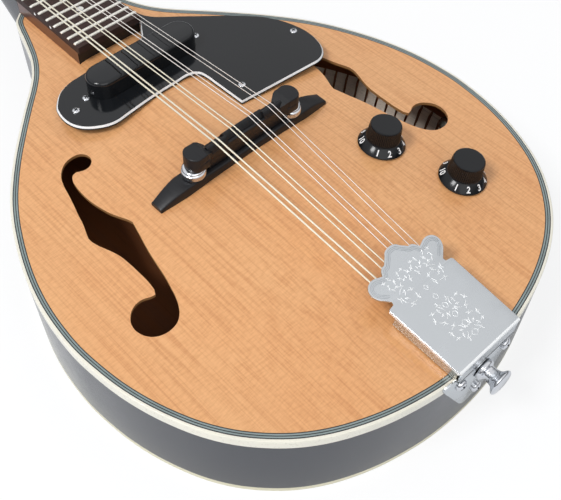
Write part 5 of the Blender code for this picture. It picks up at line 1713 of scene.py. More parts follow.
# Strings
@dataclass
class Strings:
    """Four pairs of strings, each from its hook over the bridge and nut to its post."""

    radii: tuple[float, ...] = (0.00046, 0.00034, 0.00023, 0.00018)
    at_nut: tuple[float, ...] = (0.0113, 0.0093, 0.0045, 0.0024)
    at_saddle: tuple[float, ...] = (0.0195, 0.01685, 0.0075, 0.0051)
    at_hook: tuple[float, ...] = (0.0148, 0.0109, 0.0064, 0.0024)
    crown_shift: tuple[float, ...] = (-0.0011, -0.0011, 0.0007, 0.0007)
    hook_line: float = 0.0155
    hook_rise: float = 0.0078
    crown: float = 0.0808
    bridge: float = -0.005
    nut_rise: float = 0.0008
    turns: int = 3
    wrap_extra: float = 0.00022
    loop_radius: float = 0.0014
    wound_from: float = 0.00025

    @staticmethod
    def courses() -> list[tuple[str, Side, int]]:
        """Name, side and place in its row of each string, outer strings first."""
        return ([(name, Side.BASS, k) for k, name in enumerate(("g1", "g2", "d1", "d2"))]
                + [(name, Side.TREBLE, k) for k, name in enumerate(("e1", "e2", "a1", "a2"))])

    @classmethod
    def radius_of(cls, side: Side, index: int) -> float:
        """Radius of a string, by its side and its place in the row."""
        gauges = (0, 0, 1, 1) if side is Side.BASS else (3, 3, 2, 2)
        return cls.radii[gauges[index]]

    def coil(self, side: Side, index: int, radius: float, leave: Vector) -> list[Vector]:
        """The string's turns round its post, in the frame of the row.

        Args:
            side: the string's side.
            index: its place in the row.
            radius: the string's radius.
            leave: where the string leaves the nut.
        Returns:
            The points of the coil.
        """
        head = NECK.head_frame()
        x0, up = side.value * TUNERS.spread / 2, TUNERS.start + index * TUNERS.pitch
        around = TUNERS.post_radius * 0.86 + radius + 0.00002
        start = head.inverted() @ leave
        back = Vector((start.x - x0, start.y - up))
        begin = math.atan2(back.y, back.x) - side.value * math.acos(min(1.0, around / back.length))
        points = []
        steps = 22
        for k in range(self.turns * steps + 1):
            angle = begin - side.value * TAU * k / steps
            level = 0.0057 + radius + (2 * radius + 0.00003) * k / steps
            points.append(head @ Vector((x0 + around * cos(angle), up + around * sin(angle), level)))
        inside = head @ Vector((x0, up, 0.0058 + radius + (2 * radius + 0.00003) * self.turns))
        return points + [points[-1].lerp(inside, 0.6)]

    def build(self) -> None:
        """Build the eight strings, each in its three stretches."""
        for name, side, index in self.courses():
            radius = self.radius_of(side, index)
            finish = STRING_WOUND if radius > self.wound_from else STRING_PLAIN
            sides = 14 if radius > self.wound_from else 10
            hook = Vector((side.value * self.at_hook[index], LINES.tail + self.hook_line,
                           LINES.depth + self.hook_rise))
            crown = Vector((side.value * self.at_saddle[index], self.bridge + self.crown_shift[index],
                            self.crown + radius))
            nut_top = NECK.board_top(NECK.scale) + self.nut_rise + radius
            nut = Vector((side.value * self.at_nut[index], NECK.scale + 0.0006, nut_top))
            leave = Vector((side.value * self.at_nut[index], NECK.scale + NECK.nut_length - 0.0003,
                            nut_top - 0.0008))
            slot = "string_" + name
            wide = self.loop_radius
            loop = [hook + Vector((wide * sin(a), -0.0026 + wide * cos(a), 0.0003 * sin(a)))
                    for a in (TAU * k / 14 for k in range(14))]
            path = [hook.lerp(crown, k / 24) for k in range(25)]
            wrap = rod([hook.lerp(crown, k / 160) for k in range(0, 13)], [radius + self.wrap_extra] * 13, 10)
            tail = joined((rod(path, radius, sides), rod(loop + loop[:1], radius * 0.8, 8), wrap))
            piece = as_object(tail, f"string_{name}_behind", (finish,))
            dressed(piece, None, slot)
            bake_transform(piece)
            path = [nut.lerp(crown, k / 60) for k in range(61)]
            piece = as_object(rod(path, radius, sides), f"string_{name}_speaking", (finish,))
            dressed(piece, None, slot)
            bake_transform(piece)
            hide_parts(slot)
            path = [nut, nut.lerp(leave, 0.5) + Vector((0, 0, 0.0001)), leave] + self.coil(side, index,
                                                                                           radius, leave)
            finished(rod(path, radius, sides), f"string_{name}_head", "body", slot, finish)


# Bridge
@dataclass
class Bridge:
    """The adjustable bridge: base, threaded posts, thumbwheels and saddle."""

    y: float = -0.005
    length: float = 0.1136
    base_width: float = 0.011
    base_top: float = 0.0668
    toe: float = 0.0022
    flat: float = 0.72
    spacing: float = 0.065
    post_radius: float = 0.0016
    wheel_radius: float = 0.0062
    wheel_low: float = 0.0672
    wheel_high: float = 0.0724
    saddle_length: float = 0.073
    saddle_width: float = 0.007
    boss_width: float = 0.012
    crown: float = 0.0808
    shoulder: float = 0.0772
    thread: float = 0.0007
    knurls: int = 64

    def base(self) -> None:
        """The dyed base with wings that run out to thin slanted toes, and its two posts."""
        half = self.length / 2
        end = LINES.top(half, self.y) + self.toe
        rows = []
        stations = 61
        for k in range(stations):
            share = 2 * k / (stations - 1) - 1
            x = half * share
            away = max(0.0, (abs(share) - self.flat) / (1 - self.flat))
            width = self.base_width / 2 * (1 - 0.30 * away)
            top = self.base_top + (end - self.base_top) * away ** 1.5
            floor = [(x, self.y + width * s, LINES.top(x, self.y + width * s) + SEAM)
                     for s in (-1, -0.5, 0, 0.5, 1)]
            cut = min(0.0009, (top - floor[2][2]) * 0.3)
            rows.append(floor
                        + [(x, self.y + width, top - cut), (x, self.y + width - cut * 0.35, top - cut * 0.35),
                           (x, self.y + width - cut, top), (x, self.y - width + cut, top),
                           (x, self.y - width + cut * 0.35, top - cut * 0.35),
                           (x, self.y - width, top - cut)])
        wood = skin(rows)
        posts = []
        for side in Side:
            low, high = self.base_top - 0.002, self.crown - 0.0050
            turns = int((high - low) / self.thread)
            profile = [(0, low)]
            for k in range(turns):
                level = low + k * self.thread
                profile += [(self.post_radius * 0.86, level), (self.post_radius, level + self.thread * 0.3),
                            (self.post_radius, level + self.thread * 0.5),
                            (self.post_radius * 0.86, level + self.thread * 0.85)]
            profile.append((0, profile[-1][1]))
            post = turned(profile, 28, put(side.value * self.spacing / 2, self.y, 0))
            posts.append(second_finish(post))
        finished(joined([wood] + posts), "bridge_foot", "body", "bridge_base", EBONISED, CHROME, stands=True)

    def wheel(self, side: Side) -> None:
        """A thumbwheel: a knurled band under a polished disc.

        Args:
            side: the side that it stands on.
        """
        name = "thumbwheel_" + side.name.lower()
        low, high, full = self.wheel_low, self.wheel_high, self.wheel_radius

        def ring(radius: float, level: float, notch: float = 0.0) -> list[Point3]:
            """One ring of the wheel.

            Args:
                radius: of the ring.
                level: its height.
                notch: depth of its notches.
            Returns:
                The ring's points.
            """
            count = self.knurls * 4
            row = []
            for k in range(count):
                reach = radius - (notch if k % 4 in (0, 1) else 0.0)
                row.append((side.value * self.spacing / 2 + reach * cos(TAU * k / count),
                            self.y + reach * sin(TAU * k / count), level))
            return row
        bore = self.post_radius + 0.0001
        rows = [ring(bore, low), ring(full - 0.0006, low), ring(full - 0.0001, low + 0.0003, 0.0001),
                ring(full, low + 0.0005, 0.00028), ring(full, low + 0.0027, 0.00028),
                ring(full - 0.0001, low + 0.0029, 0.0001), ring(full - 0.0008, low + 0.0032),
                ring(full - 0.0010, low + 0.0035), ring(full - 0.0006, low + 0.0040),
                ring(full - 0.0005, high - 0.0005), ring(full - 0.0009, high - 0.0001),
                ring(full - 0.0012, high), ring(bore, high)]
        finished(skin(rows, loop=True), name + "_turned", name + "_body", name, CHROME, stands=True)

    def saddle(self) -> None:
        """The saddle: a bar between two round-ended bosses, with a stepped crown."""
        reach, radius, waist = self.saddle_length / 2, self.boss_width / 2, self.saddle_width / 2
        neck_x = reach - self.boss_width * 0.95
        low = self.wheel_high + 0.0003
        flat = reach - radius * 0.8
        arc = [(flat + radius * 0.8 * cos(a), radius * sin(a))
               for a in (pi * (k / 20 - 0.5) for k in range(21))]
        right = [(neck_x - 0.0015, -waist), (neck_x + 0.0015, -radius)] + arc + [(neck_x + 0.0015, radius),
                                                                                 (neck_x - 0.0015, waist)]
        plan = [(way * x, self.y + way * y) for way in (1, -1) for x, y in right]
        saddle = as_object(rounded(slab(plan, low, self.shoulder), 0.0003, 2, 60.0), "saddle_carved",
                           (EBONISED,))
        inner = self.spacing / 2 - self.wheel_radius - 0.0012
        deep = waist * 0.94
        bar = slab([(-inner, self.y - deep), (inner, self.y - deep), (inner, self.y + deep),
                    (-inner, self.y + deep)],
                   self.base_top + 0.0007, low + 0.001)
        merged(saddle, rounded(bar, 0.0004, 2, 60.0, lambda e: e.verts[0].co.z + e.verts[1].co.z < 2 * low),
               EBONISED)
        for side in Side:
            boss = [(neck_x + 0.0018, -radius + 0.0002)] + arc + [(neck_x + 0.0018, radius - 0.0002)]
            plan = [(side.value * x, self.y + side.value * y * 0.985) for x, y in boss]
            top = slab(plan, self.shoulder - 0.001, self.crown + 0.0006)
            top = rounded(top, 0.0007, 3, 60.0, lambda e: e.verts[0].co.z + e.verts[1].co.z > 2 * self.crown)
            merged(saddle, top, EBONISED)
            rows = []
            for x, wide, level in ((neck_x + 0.0022, radius * 0.94, self.crown + 0.0004),
                                   (neck_x + 0.0004, radius * 0.86, self.crown - 0.0003),
                                   (neck_x - 0.0024, waist * 0.97, self.shoulder + 0.0010)):
                rows.append([(side.value * x, self.y + w, z) for w, z in
                             ((-wide, self.shoulder - 0.0012), (wide, self.shoulder - 0.0012), (wide, level),
                              (-wide, level))])
            merged(saddle, skin(rows), EBONISED)
        split = (Strings.at_saddle[1] + Strings.at_saddle[2]) / 2
        spans = ((-neck_x + 0.0005, -split, -0.0011), (-split - 0.0004, 0.0004, 0.0007),
                 (-0.0004, split + 0.0004, 0.0007), (split, neck_x - 0.0005, -0.0011))
        for low_x, high_x, shift in spans:
            middle, wide = self.y + shift, 0.0017
            foot = max(waist - abs(shift) - 0.0003, wide)
            section = ((-foot, self.shoulder - 0.001), (foot, self.shoulder - 0.001),
                       (foot, self.shoulder + 0.0004), (wide * 0.55, self.crown - 0.0005),
                       (wide * 0.25, self.crown - 0.0001), (0, self.crown),
                       (-wide * 0.25, self.crown - 0.0001), (-wide * 0.55, self.crown - 0.0005),
                       (-foot, self.shoulder + 0.0004))
            rows = [[(x, middle + dy, z) for dy, z in section] for x in (low_x, high_x)]
            merged(saddle, skin(rows), EBONISED)
        bores = [cylinder(0.0017, low - 0.002, self.crown - 0.0035,
                          28, put(side.value * self.spacing / 2, self.y, 0)) for side in Side]
        carved(saddle, joined(bores), EBONISED)
        dressed(saddle, "saddle", "bridge_saddle", 30.0, stands=True)

    def build(self) -> None:
        """Build the bridge from the soundboard up."""
        self.base()
        for side in Side:
            self.wheel(side)
        self.saddle()


# Pickguard and pickup
@dataclass
class Guard:
    """The pickguard with its screws and the pickup that it carries."""

    pickup_length: float = 0.0704
    pickup_width: float = 0.0180
    pickup_y: float = 0.078
    wall: float = 0.0013
    pickup_round: float = 0.0022
    standoff_radius: float = 0.0032
    screw_radius: float = 0.0022
    screw_height: float = 0.0011
    screws: tuple[Point2, ...] = ((-0.0476, 0.0738), (0.0306, 0.0299), (0.0827, 0.0435))
    pickup_screws: tuple[Point2, ...] = ((-0.0381, 0.078), (0.0381, 0.078))
    outline: tuple[Point2, ...] = (
        (28.6, 112.6), (31.8, 108.1), (36.7, 103.7), (44.3, 97.5), (51.9, 90.9), (59.4, 84.6), (67.0, 78.0),
        (74.5, 70.4), (80.8, 62.8), (85.2, 54.7), (87.8, 47.1), (89.3, 38.2), (88.7, 30.8), (86.5, 23.8),
        (82.7, 18.8), (78.8, 16.6), (75.1, 15.9), (71.0, 16.2), (25.5, 19.7), (21.7, 20.0), (21.6, 24.0),
        (21.0, 42.0), (20.7, 49.0), (19.7, 52.8), (17.8, 54.7), (15.4, 55.7), (6.6, 55.8), (-6.1, 55.6),
        (-18.6, 54.7), (-28.8, 53.7), (-36.3, 53.1), (-41.3, 54.1), (-46.4, 56.6), (-51.3, 60.3),
        (-54.5, 64.7), (-56.1, 69.8), (-56.1, 76.1), (-54.5, 82.3), (-50.7, 87.4), (-45.8, 91.8),
        (-38.8, 94.7), (-28.8, 95.7), (-18.6, 96.7), (-6.1, 97.5), (6.6, 97.9), (13.4, 97.7), (15.6, 99.3),
        (17.2, 101.9))

    def plan(self) -> list[Point2]:
        """The guard's plan, clockwise as measured, turned counter-clockwise.

        Returns:
            The plan.
        """
        edge = NECK.half_width(NECK.board_end + 0.002) + 0.0004
        corner = NECK.board_end + 0.0016
        count = len(self.outline)
        points = [(x * MM, y * MM) for x, y in self.outline]
        points += [(edge, corner), (edge, corner + 0.014), (edge + 0.0025, corner + 0.013)]
        line = smooth_path(points, 4, closed=True, sharp=(19, count, count + 1, count + 2))
        return in_plan(reversed(line))

    def guard(self, low: float, high: float) -> None:
        """The black guard with a white line in its bevelled edge.

        Args:
            low: height of its underside.
            high: height of its face.
        """
        plan = self.plan()
        rows = []
        for inset, level in ((0.0, low), (0.0, low + 0.0004), (0.0002, low + 0.0007),
                             (0.0010, high - 0.0002), (0.0012, high)):
            rows.append(raised(plan_offset(plan, -inset), level))
        guard = as_object(skin(rows, finishes=(0, 0, 1, 0)), "guard_plate", (PLASTIC, WHITE_PLY))
        opening = pill(self.pickup_length + 0.0003, self.pickup_width + 0.0003, (0, self.pickup_y))
        carved(guard, slab(opening, low - 0.01, high + 0.01), PLASTIC)
        dressed(guard, "body", "pickguard", 25.0, stands=True)
        heads = [pan_screw(put(x, y, high) @ Matrix.Rotation(turn, 4, "Z"), self.screw_radius,
                          self.screw_height)
                 for (x, y), turn in zip(self.screws + self.pickup_screws, (0.4, 1.1, 0.2, 0.7, 0.1))]
        finished(joined(heads), "guard_screws", "body", "pickguard", CHROME, DARK_STEEL)
        stands = []
        for x, y in self.screws:
            foot = LINES.top(x, y) - 0.0001
            stands.append(cylinder(self.standoff_radius, foot, low + SEAM, 28,
                                   put(x, y, 0)))
        finished(joined(stands), "guard_standoffs", "body", "pickguard", PLASTIC)

    def pickup(self, base: float, top: float) -> None:
        """The pickup's closed black cover, hollow inside.

        Args:
            base: height of its lower edge.
            top: height of its face.
        """
        bend = self.pickup_round
        curve = [(bend * (1 - sin(a)), top - bend * (1 - cos(a))) for a in angles(90, 6)]
        shape = [(self.wall, top - self.wall - 0.0006), (self.wall, base), (0.0, base), (0.0, top - bend)]
        shape += list(reversed(curve))[1:]
        rows = []
        for inset, level in shape:
            long, wide = self.pickup_length - 2 * inset, self.pickup_width - 2 * inset
            rows.append(raised(pill(long, wide, (0, self.pickup_y), 18), level))
        finished(skin(rows), "pickup_shell", "body", "pickup_cover", PLASTIC, stands=True)
        repainted("pickup_coil", COPPER)

    def build(self) -> None:
        """Build the guard at the height that its frame part has."""
        low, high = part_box("pickguard")
        self.guard(low[2], high[2])
        low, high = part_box("pickup_cover")
        self.pickup(low[2], high[2])


# Controls
@dataclass
class Controls:
    """Volume and tone knobs, and the output socket."""

    volume_place: Point2 = (0.0570, -0.0495)
    tone_place: Point2 = (0.0728, -0.0918)
    skirt: float = 0.0127
    head: float = 0.0084
    height: float = 0.0141
    flutes: int = 54
    figure_radius: float = 0.0112
    figure_step: float = 32.7
    figure_size: float = 0.0047
    figure_weight: float = 0.00011
    jack_bore: float = 0.00325
    socket_nut: float = 0.0066
    barrel_depth: float = 0.0110
    socket_place: Point3 = (0.1318, -0.0470, 0.0270)
    socket_out: Point3 = (0.9972, -0.0752, 0.0)

    @classmethod
    def socket_frame(cls) -> Matrix:
        """A frame on the rim with its Z along the way out of the socket."""
        return facing(cls.socket_place, cls.socket_out)

    def figures(self, first: float) -> BMesh:
        """The numbers 1 to 10 round the skirt, raised a little.

        Args:
            first: angle of the 1, in degrees from X.
        Returns:
            The mesh, in the knob's frame.
        """
        foot, top = (self.skirt, 0.0016), (self.head + 0.0012, 0.0051)
        slant = Vector((top[0] - foot[0], top[1] - foot[1])).normalized()
        start = Vector(foot) + slant * ((self.skirt - self.figure_radius) / -slant.x)
        shapes = []
        for number in range(1, 11):
            curve = bpy.data.curves.new("figure", "FONT")
            curve.body = str(number)
            curve.size = self.figure_size
            curve.align_x, curve.align_y = "CENTER", "CENTER"
            curve.extrude = 0.00003
            curve.offset = self.figure_weight
            curve.resolution_u = 4
            holder = shown("figure", curve)
            graph = bpy.context.evaluated_depsgraph_get()
            mesh = bpy.data.meshes.new_from_object(holder.evaluated_get(graph))
            bpy.data.objects.remove(holder, do_unlink=True)
            bm = bmesh.new()
            bm.from_mesh(mesh)
            bpy.data.meshes.remove(mesh)
            turn = radians(first + self.figure_step * (number - 1))
            for vert in bm.verts:
                along = start + slant * vert.co.y
                lift = Vector((-slant.y, slant.x)) * (-vert.co.z - 0.00002)
                radius, level = along.x + lift.x, along.y + lift.y
                angle = turn + vert.co.x * 0.9 / self.figure_radius
                vert.co = (radius * cos(angle), radius * sin(angle), level)
            shapes.append(bm)
        return joined(shapes)

    def knob(self, word: str, place: Point2, first: float) -> None:
        """A knob with a fluted body above a numbered skirt.

        Args:
            word: the knob's name.
            place: its middle on the soundboard.
            first: angle of the 1, in degrees from X.
        """
        rows = []
        count = self.flutes * 4

        def ring(radius: float, level: float, cut: float = 0.0) -> list[Point3]:
            """One ring of the knob, with its flutes.

            Args:
                radius: of the ring.
                level: its height.
                cut: depth of its flutes.
            Returns:
                The ring's points.
            """
            points = []
            for k in range(count):
                reach = radius - cut * (k % 4 == 0) - cut * 0.35 * (k % 4 in (1, 3))
                points.append((reach * cos(TAU * k / count), reach * sin(TAU * k / count), level))
            return points

        skirt, head, tall, lift = self.skirt, self.head, self.height, 0.0007
        rows = [ring(0.0031, 0.0042), ring(0.0068, 0.0042), ring(skirt - 0.0014, lift + 0.0004),
                ring(skirt - 0.0003, lift), ring(skirt, lift + 0.0003), ring(skirt, lift + 0.0006),
                ring(skirt - 0.0002, lift + 0.0009), ring(head + 0.0012, 0.0050),
                ring(head + 0.0007, 0.0053), ring(head + 0.0006, 0.0057, 0.0001),
                ring(head + 0.00055, 0.0061, 0.00042), ring(head + 0.0001, tall - 0.0011, 0.00042),
                ring(head, tall - 0.0008, 0.0001), ring(head - 0.0002, tall - 0.0003),
                ring(head - 0.0007, tall), ring(head * 0.5, tall), ring(0.0004, tall)]
        knob = skin(rows)
        figures = self.figures(first)
        second_finish(figures)
        whole = moved(joined((knob, figures)), LINES.top_frame(*place))
        finished(whole, word + "_knob_fluted", word, word + "_knob", KNOB_BLACK, FIGURES, angle=30.0,
                 stands=True)
        repainted(word + "_pot", NICKEL)

    def socket(self) -> None:
        """The output socket with its washer and six-sided nut."""
        place = self.socket_frame()
        bore, deep = self.jack_bore, -self.barrel_depth
        profile = ((bore, 0.0024), (0.0046, 0.0024), (0.0048, 0.0022), (0.0048, 0.0010), (0.0072, 0.0010),
                   (0.00745, 0.0007), (0.00745, 0.0002), (0.0050, 0.0002), (0.0050, deep),
                   (bore, deep), (bore, 0.0024))
        barrel = turned(profile, 48)
        plan = [(self.socket_nut * cos(TAU * k / 6), self.socket_nut * sin(TAU * k / 6)) for k in range(6)]
        nut = as_object(rounded(slab(plan, 0.0010, 0.0021), 0.0002, 2, 40.0), "socket_nut", (NICKEL,))
        carved(nut, cylinder(0.0047, -0.01, 0.01, 36), NICKEL)
        bm = loose(nut)
        whole = moved(joined((barrel, bm)), place)
        finished(whole, "output_socket", "body", "output_jack", NICKEL, stands=True)

    def build(self) -> None:
        """Build the knobs and the socket."""
        self.knob("volume", self.volume_place, -150.7)
        self.knob("tone", self.tone_place, -161.0)
        self.socket()


# Tailpiece
@dataclass
class Tailpiece:
    """The tailpiece: sliding cover, tray with hooks, bracket over the rim and end pin."""

    half: float = 0.0213
    length: float = 0.040
    metal: float = 0.001
    rear_rise: float = 0.0102
    front_rise: float = 0.0143
    pin_drop: float = 0.009
    pin_radius: float = 0.0068
    pin_height: float = 0.0112
    taper: float = 0.96
    curl: float = 0.21
    lip_depth: float = 0.0021
    lip_metal: float = 0.0008
    hook_wire: float = 0.0006
    stroke_width: float = 0.0005
    front: tuple[Point2, ...] = (
        (0.0, 21.0), (3.5, 20.2), (5.5, 18.2), (7.0, 17.0), (8.2, 16.0), (9.8, 15.8), (11.3, 14.8),
        (12.6, 12.8), (14.0, 13.2), (16.5, 14.1), (19.5, 14.1), (22.2, 12.7), (23.45, 9.5), (22.3, 6.4),
        (19.5, 3.7), (17.6, 2.0), (18.0, 0.6))
    bracket_screws: tuple[Point2, ...] = ((-0.0155, -0.006), (0.0155, -0.006), (0.0, -0.026))
    scrolls: tuple[tuple[Point2, float, float, float], ...] = (
        ((8.6, -1.0), 5.0, 100.0, -520.0), ((12.6, 7.2), 3.2, 40.0, 400.0), ((4.6, 7.5), 3.4, 250.0, -420.0),
        ((6.6, -16.5), 4.6, 120.0, 500.0), ((6.0, -27.5), 4.4, -100.0, -500.0))

    @property
    def line(self) -> float:
        """Y of the cover's shoulders."""
        return LINES.tail + self.length

    def cover_top(self, y: float) -> float:
        """Height of the cover: a gentle slope that turns up at the front.

        Args:
            y: place along.
        Returns:
            The height.
        """
        slope = (self.front_rise - self.rear_rise) / self.length
        height = LINES.depth + self.rear_rise + slope * (y - LINES.tail)
        past = y - self.line
        return height + (self.curl * past * min(1.0, past / 0.004 * 0.5 + 0.5) if past > 0 else 0.0)

    def floor(self, y: float) -> float:
        """Height of the tray's upper face."""
        share = max(0.0, (y - LINES.tail) / self.length)
        return LINES.depth + 0.0003 + self.metal + (LINES.top(0, self.line) - LINES.depth) * share * 1.15

    def plan(self) -> list[Point2]:
        """The cover's plan, counter-clockwise.

        Returns:
            The plan.
        """
        rear = LINES.tail - 0.0005
        right = [(x * MM, self.line + y * MM) for x, y in self.front] + [(self.half, self.line),
                                                                         (self.half * self.taper, rear)]
        whole = mirrored(right, 1)
        count = len(whole)
        corners = (7, 15, 16, 17, 18)
        line = smooth_path(whole, 4, closed=True, sharp=corners + tuple(count - c for c in corners))
        return in_plan(reversed(line))

    def cover(self) -> None:
        """The chromed cover, bent up at its scalloped front."""
        sheet = rounded(slab(self.plan(), -self.metal, 0.0), 0.00025, 2, 60.0,
                        lambda e: abs(e.verts[0].co.z - e.verts[1].co.z) < WELD)
        cuts = [LINES.tail + 0.004 * k for k in range(10)] + [self.line + 0.001 * k for k in range(21)]
        for vert in sliced(sheet, cuts, 1).verts:
            vert.co.z += self.cover_top(vert.co.y)
        cover = as_object(sheet, "cover_pressed", (CHROME_SOFT, PAINTED_GLINT))
        for side in Side:
            rows = []
            for y, edge in ((LINES.tail - 0.0003, self.half * self.taper),
                            (self.line - 0.0002, self.half * 0.999)):
                top = self.cover_top(y) - self.metal * 0.3
                outer, inner = side.value * (edge - 0.00002), side.value * (edge - self.lip_metal)
                low = top - self.lip_depth
                rows.append([(outer, y, top), (inner, y, top), (inner, y, low), (outer, y, low)])
            # The lips are painted white: a painted reflection and highlight along the cover's sides.
            lip = second_finish(skin(rows))
            merged(cover, lip, CHROME_SOFT, PAINTED_GLINT)
        dressed(cover, "cover", "tailpiece_cover", 25.0, stands=True)
        # The rolled rear edge is painted white: a painted highlight.
        rear, wide = LINES.tail - 0.0006, self.half * 0.955
        roll = rod([(wide * s, rear, self.cover_top(rear) - 0.0006) for s in (-1.0, -0.5, 0.0, 0.5, 1.0)],
                   0.0008, 16)
        finished(roll, "cover_rolled_edge", "cover", "tailpiece_cover", PAINTED_GLINT)
        edges = []
        for side in Side:
            edges.append(rod([(side.value * self.half * share, y, self.cover_top(y) - 0.0005) for y, share in
                              ((LINES.tail, 0.963), (self.line - 0.0006, 1.000))], 0.0004, 12))
        finished(joined(edges), "cover_side_edges", "cover", "tailpiece_cover", CHROME)

    def stroke(self, points: Sequence[Point2], width: float) -> BMesh:
        """A cut in the cover, widest in its middle, drawn as a raised stroke whose white is a painted
        highlight.

        Args:
            points: its places in plan.
            width: across its middle.
        Returns:
            The new mesh.
        """
        last = len(points) - 1
        sizes = [width / 2 * (0.25 + 0.75 * sin(pi * i / last)) for i in range(last + 1)]
        return rod([(x, y, self.cover_top(y) + width * 0.06) for x, y in points], sizes, 6)

    def scroll(self, middle: Point2, reach: float, first: float, sweep: float) -> list[list[Point2]]:
        """A winding stem with leaves along its outer side.

        Args:
            middle: where it winds in to, from the cover's shoulders.
            reach: its widest radius.
            first: angle of its outer end, in degrees.
            sweep: angle that it winds through, in degrees.
        Returns:
            The strokes that draw it, each a row of places in plan.
        """
        def at(t: float, out: float = 0.0) -> Point2:
            """A place along the stem, or off it.

            Args:
                t: share of the way in.
                out: distance off it, outwards.
            Returns:
                The place.
            """
            angle = radians(first + sweep * t)
            radius = reach * (1 - 0.72 * t) + out
            return middle[0] + radius * cos(angle), self.line + middle[1] + radius * sin(angle)
        strokes = []
        leaves = 7
        for k in range(leaves):
            t = k / leaves
            size = reach * 0.34 * (1 - 0.5 * t)
            strokes.append([at(t + 0.11 * j / 5) for j in range(6)])
            strokes.append([at(t + 0.06 * j / 4, size * j / 4) for j in range(5)])
            strokes.append([at(t + 0.03 - 0.03 * j / 4, size * (0.35 + 0.9 * j / 4)) for j in range(5)])
        return strokes

    def ornament(self) -> None:
        """Engraved scrolls of leaves in a plain old pattern, white as painted highlights, and lines inside
        the scalloped edge.
        """
        shapes = []
        for way in (1, -1):
            for (x, y), reach, first, sweep in self.scrolls:
                for points in self.scroll((x * MM, y * MM), reach * MM, first, sweep):
                    shapes.append(self.stroke([(way * px, py) for px, py in points], self.stroke_width))
            for k in range(6):
                y, size = self.line - 0.0335 + 0.0058 * k, 0.0021 - 0.0002 * k
                leaf = [(way * size * sin(pi * j / 6) * 0.8, y + 0.0032 * j / 6) for j in range(7)]
                shapes.append(self.stroke(leaf, 0.00045))
        finished(joined(shapes), "cover_engraving_painted_glints", "cover", "tailpiece_cover", PAINTED_GLINT, angle=60.0)
        lines = []
        for inset in (0.0012, 0.0019, 0.0026):
            inside = plan_offset(self.plan(), -inset)
            front = [point for point in inside if point[1] > self.line + 0.0034]
            front.sort(key=lambda point: math.atan2(point[1] - self.line + 0.004, point[0]))
            lines.append(rod([(x, y, self.cover_top(y) - 0.00002) for x, y in front], 0.00009, 6))
        finished(joined(lines), "cover_border_lines", "cover", "tailpiece_cover", ENGRAVED_LINE, angle=60.0)

    def rim_line(self, x: float) -> float:
        """Y of the rim's outside behind the tail, at a place across.

        Args:
            x: the place across.
        Returns:
            The Y.
        """
        angle = math.asin(max(-1.0, min(1.0, x / (LINES.half_width * 0.97))))
        reach = LINES.reach(angle) + LINES.edge
        return LINES.centre - math.sqrt(max(0.0, reach * reach - x * x))

    def tray(self) -> None:
        """The tray under the cover with its walls, hooks and the bracket down the rim."""
        edge = self.half * self.taper - 0.0012
        rear = LINES.tail - 0.0003 - self.metal
        bm = slab([(-edge, rear), (edge, rear), (edge, self.line - 0.002), (-edge, self.line - 0.002)],
                  -self.metal, 0.0)
        for vert in sliced(bm, (LINES.tail + 0.0035 * k for k in range(12)), 1).verts:
            vert.co.z += self.floor(vert.co.y)
        high = self.cover_top(LINES.tail) - self.metal - 0.0003
        back_wall = slab([(-edge, rear), (edge, rear), (edge, rear + self.metal), (-edge, rear + self.metal)],
                         LINES.depth - 0.0004, high)
        second_finish(back_wall)
        shapes = [bm, back_wall]
        for side in Side:
            rows = []
            for y in (LINES.tail + 0.0008, self.line - 0.0024):
                low, high = self.floor(y) - self.metal * 0.6, self.cover_top(y) - self.metal - 0.0004
                outer, inner = side.value * (edge - 0.00001), side.value * (edge - 0.0009)
                rows.append([(outer, y, low), (inner, y, low), (inner, y, high), (outer, y, high)])
            shapes.append(skin(rows))
        hooks = LINES.tail + Strings.hook_line
        for side in Side:
            for x in Strings.at_hook:
                place, low = side.value * x, self.floor(hooks) - 0.0006
                high = LINES.depth + Strings.hook_rise + 0.0004
                path = smooth_path(((place, hooks - 0.0024, low), (place, hooks - 0.0026, high - 0.001),
                                    (place, hooks - 0.0030, high), (place, hooks - 0.0042, high + 0.0003)), 4)
                shapes.append(rod(path, self.hook_wire, 12))
        finished(joined(shapes), "hook_tray", "body", "tailpiece_base", NICKEL, CHROME_SOFT)
        half = [(0.0, -36.0), (6.0, -36.0), (7.6, -34.6), (13.4, -25.4), (21.3, -11.2), (25.2, -4.4),
                (26.0, -2.6), (26.0, -0.4), (25.2, 0.2), (21.6, 1.2), (0.0, 1.3)]
        whole = mirrored([(x * MM, z * MM) for x, z in half], 1, -1)
        count = len(whole)
        line = smooth_path(whole, 3, closed=True, sharp=(9, count - 9))
        sheet = rounded(slab(in_plan(line), 0.0, self.metal), 0.0003, 2, 60.0,
                        lambda e: min(v.co.z for v in e.verts) > self.metal * 0.9)
        for vert in sliced(sheet, (0.0021 * k for k in range(-12, 13)), 0).verts:
            x, z, out = vert.co.x, vert.co.y, vert.co.z
            vert.co = (x, self.rim_line(x) - SEAM - out, LINES.depth + z)
        bracket = as_object(sheet, "rim_bracket", (CHROME_SOFT,))
        dressed(bracket, "body", "tailpiece_base", stands=True)
        heads = []
        for x, z in self.bracket_screws:
            slope = (self.rim_line(x + 0.001) - self.rim_line(x - 0.001)) / 0.002
            out = Vector((slope, -1, 0)).normalized()
            spot = Vector((x, self.rim_line(x), LINES.depth + z)) + out * (self.metal + SEAM)
            heads.append(pan_screw(facing(spot, out, 20), 0.0031, 0.0025))
        finished(joined(heads), "bracket_screws", "body", "tailpiece_base", CHROME, DARK_STEEL)

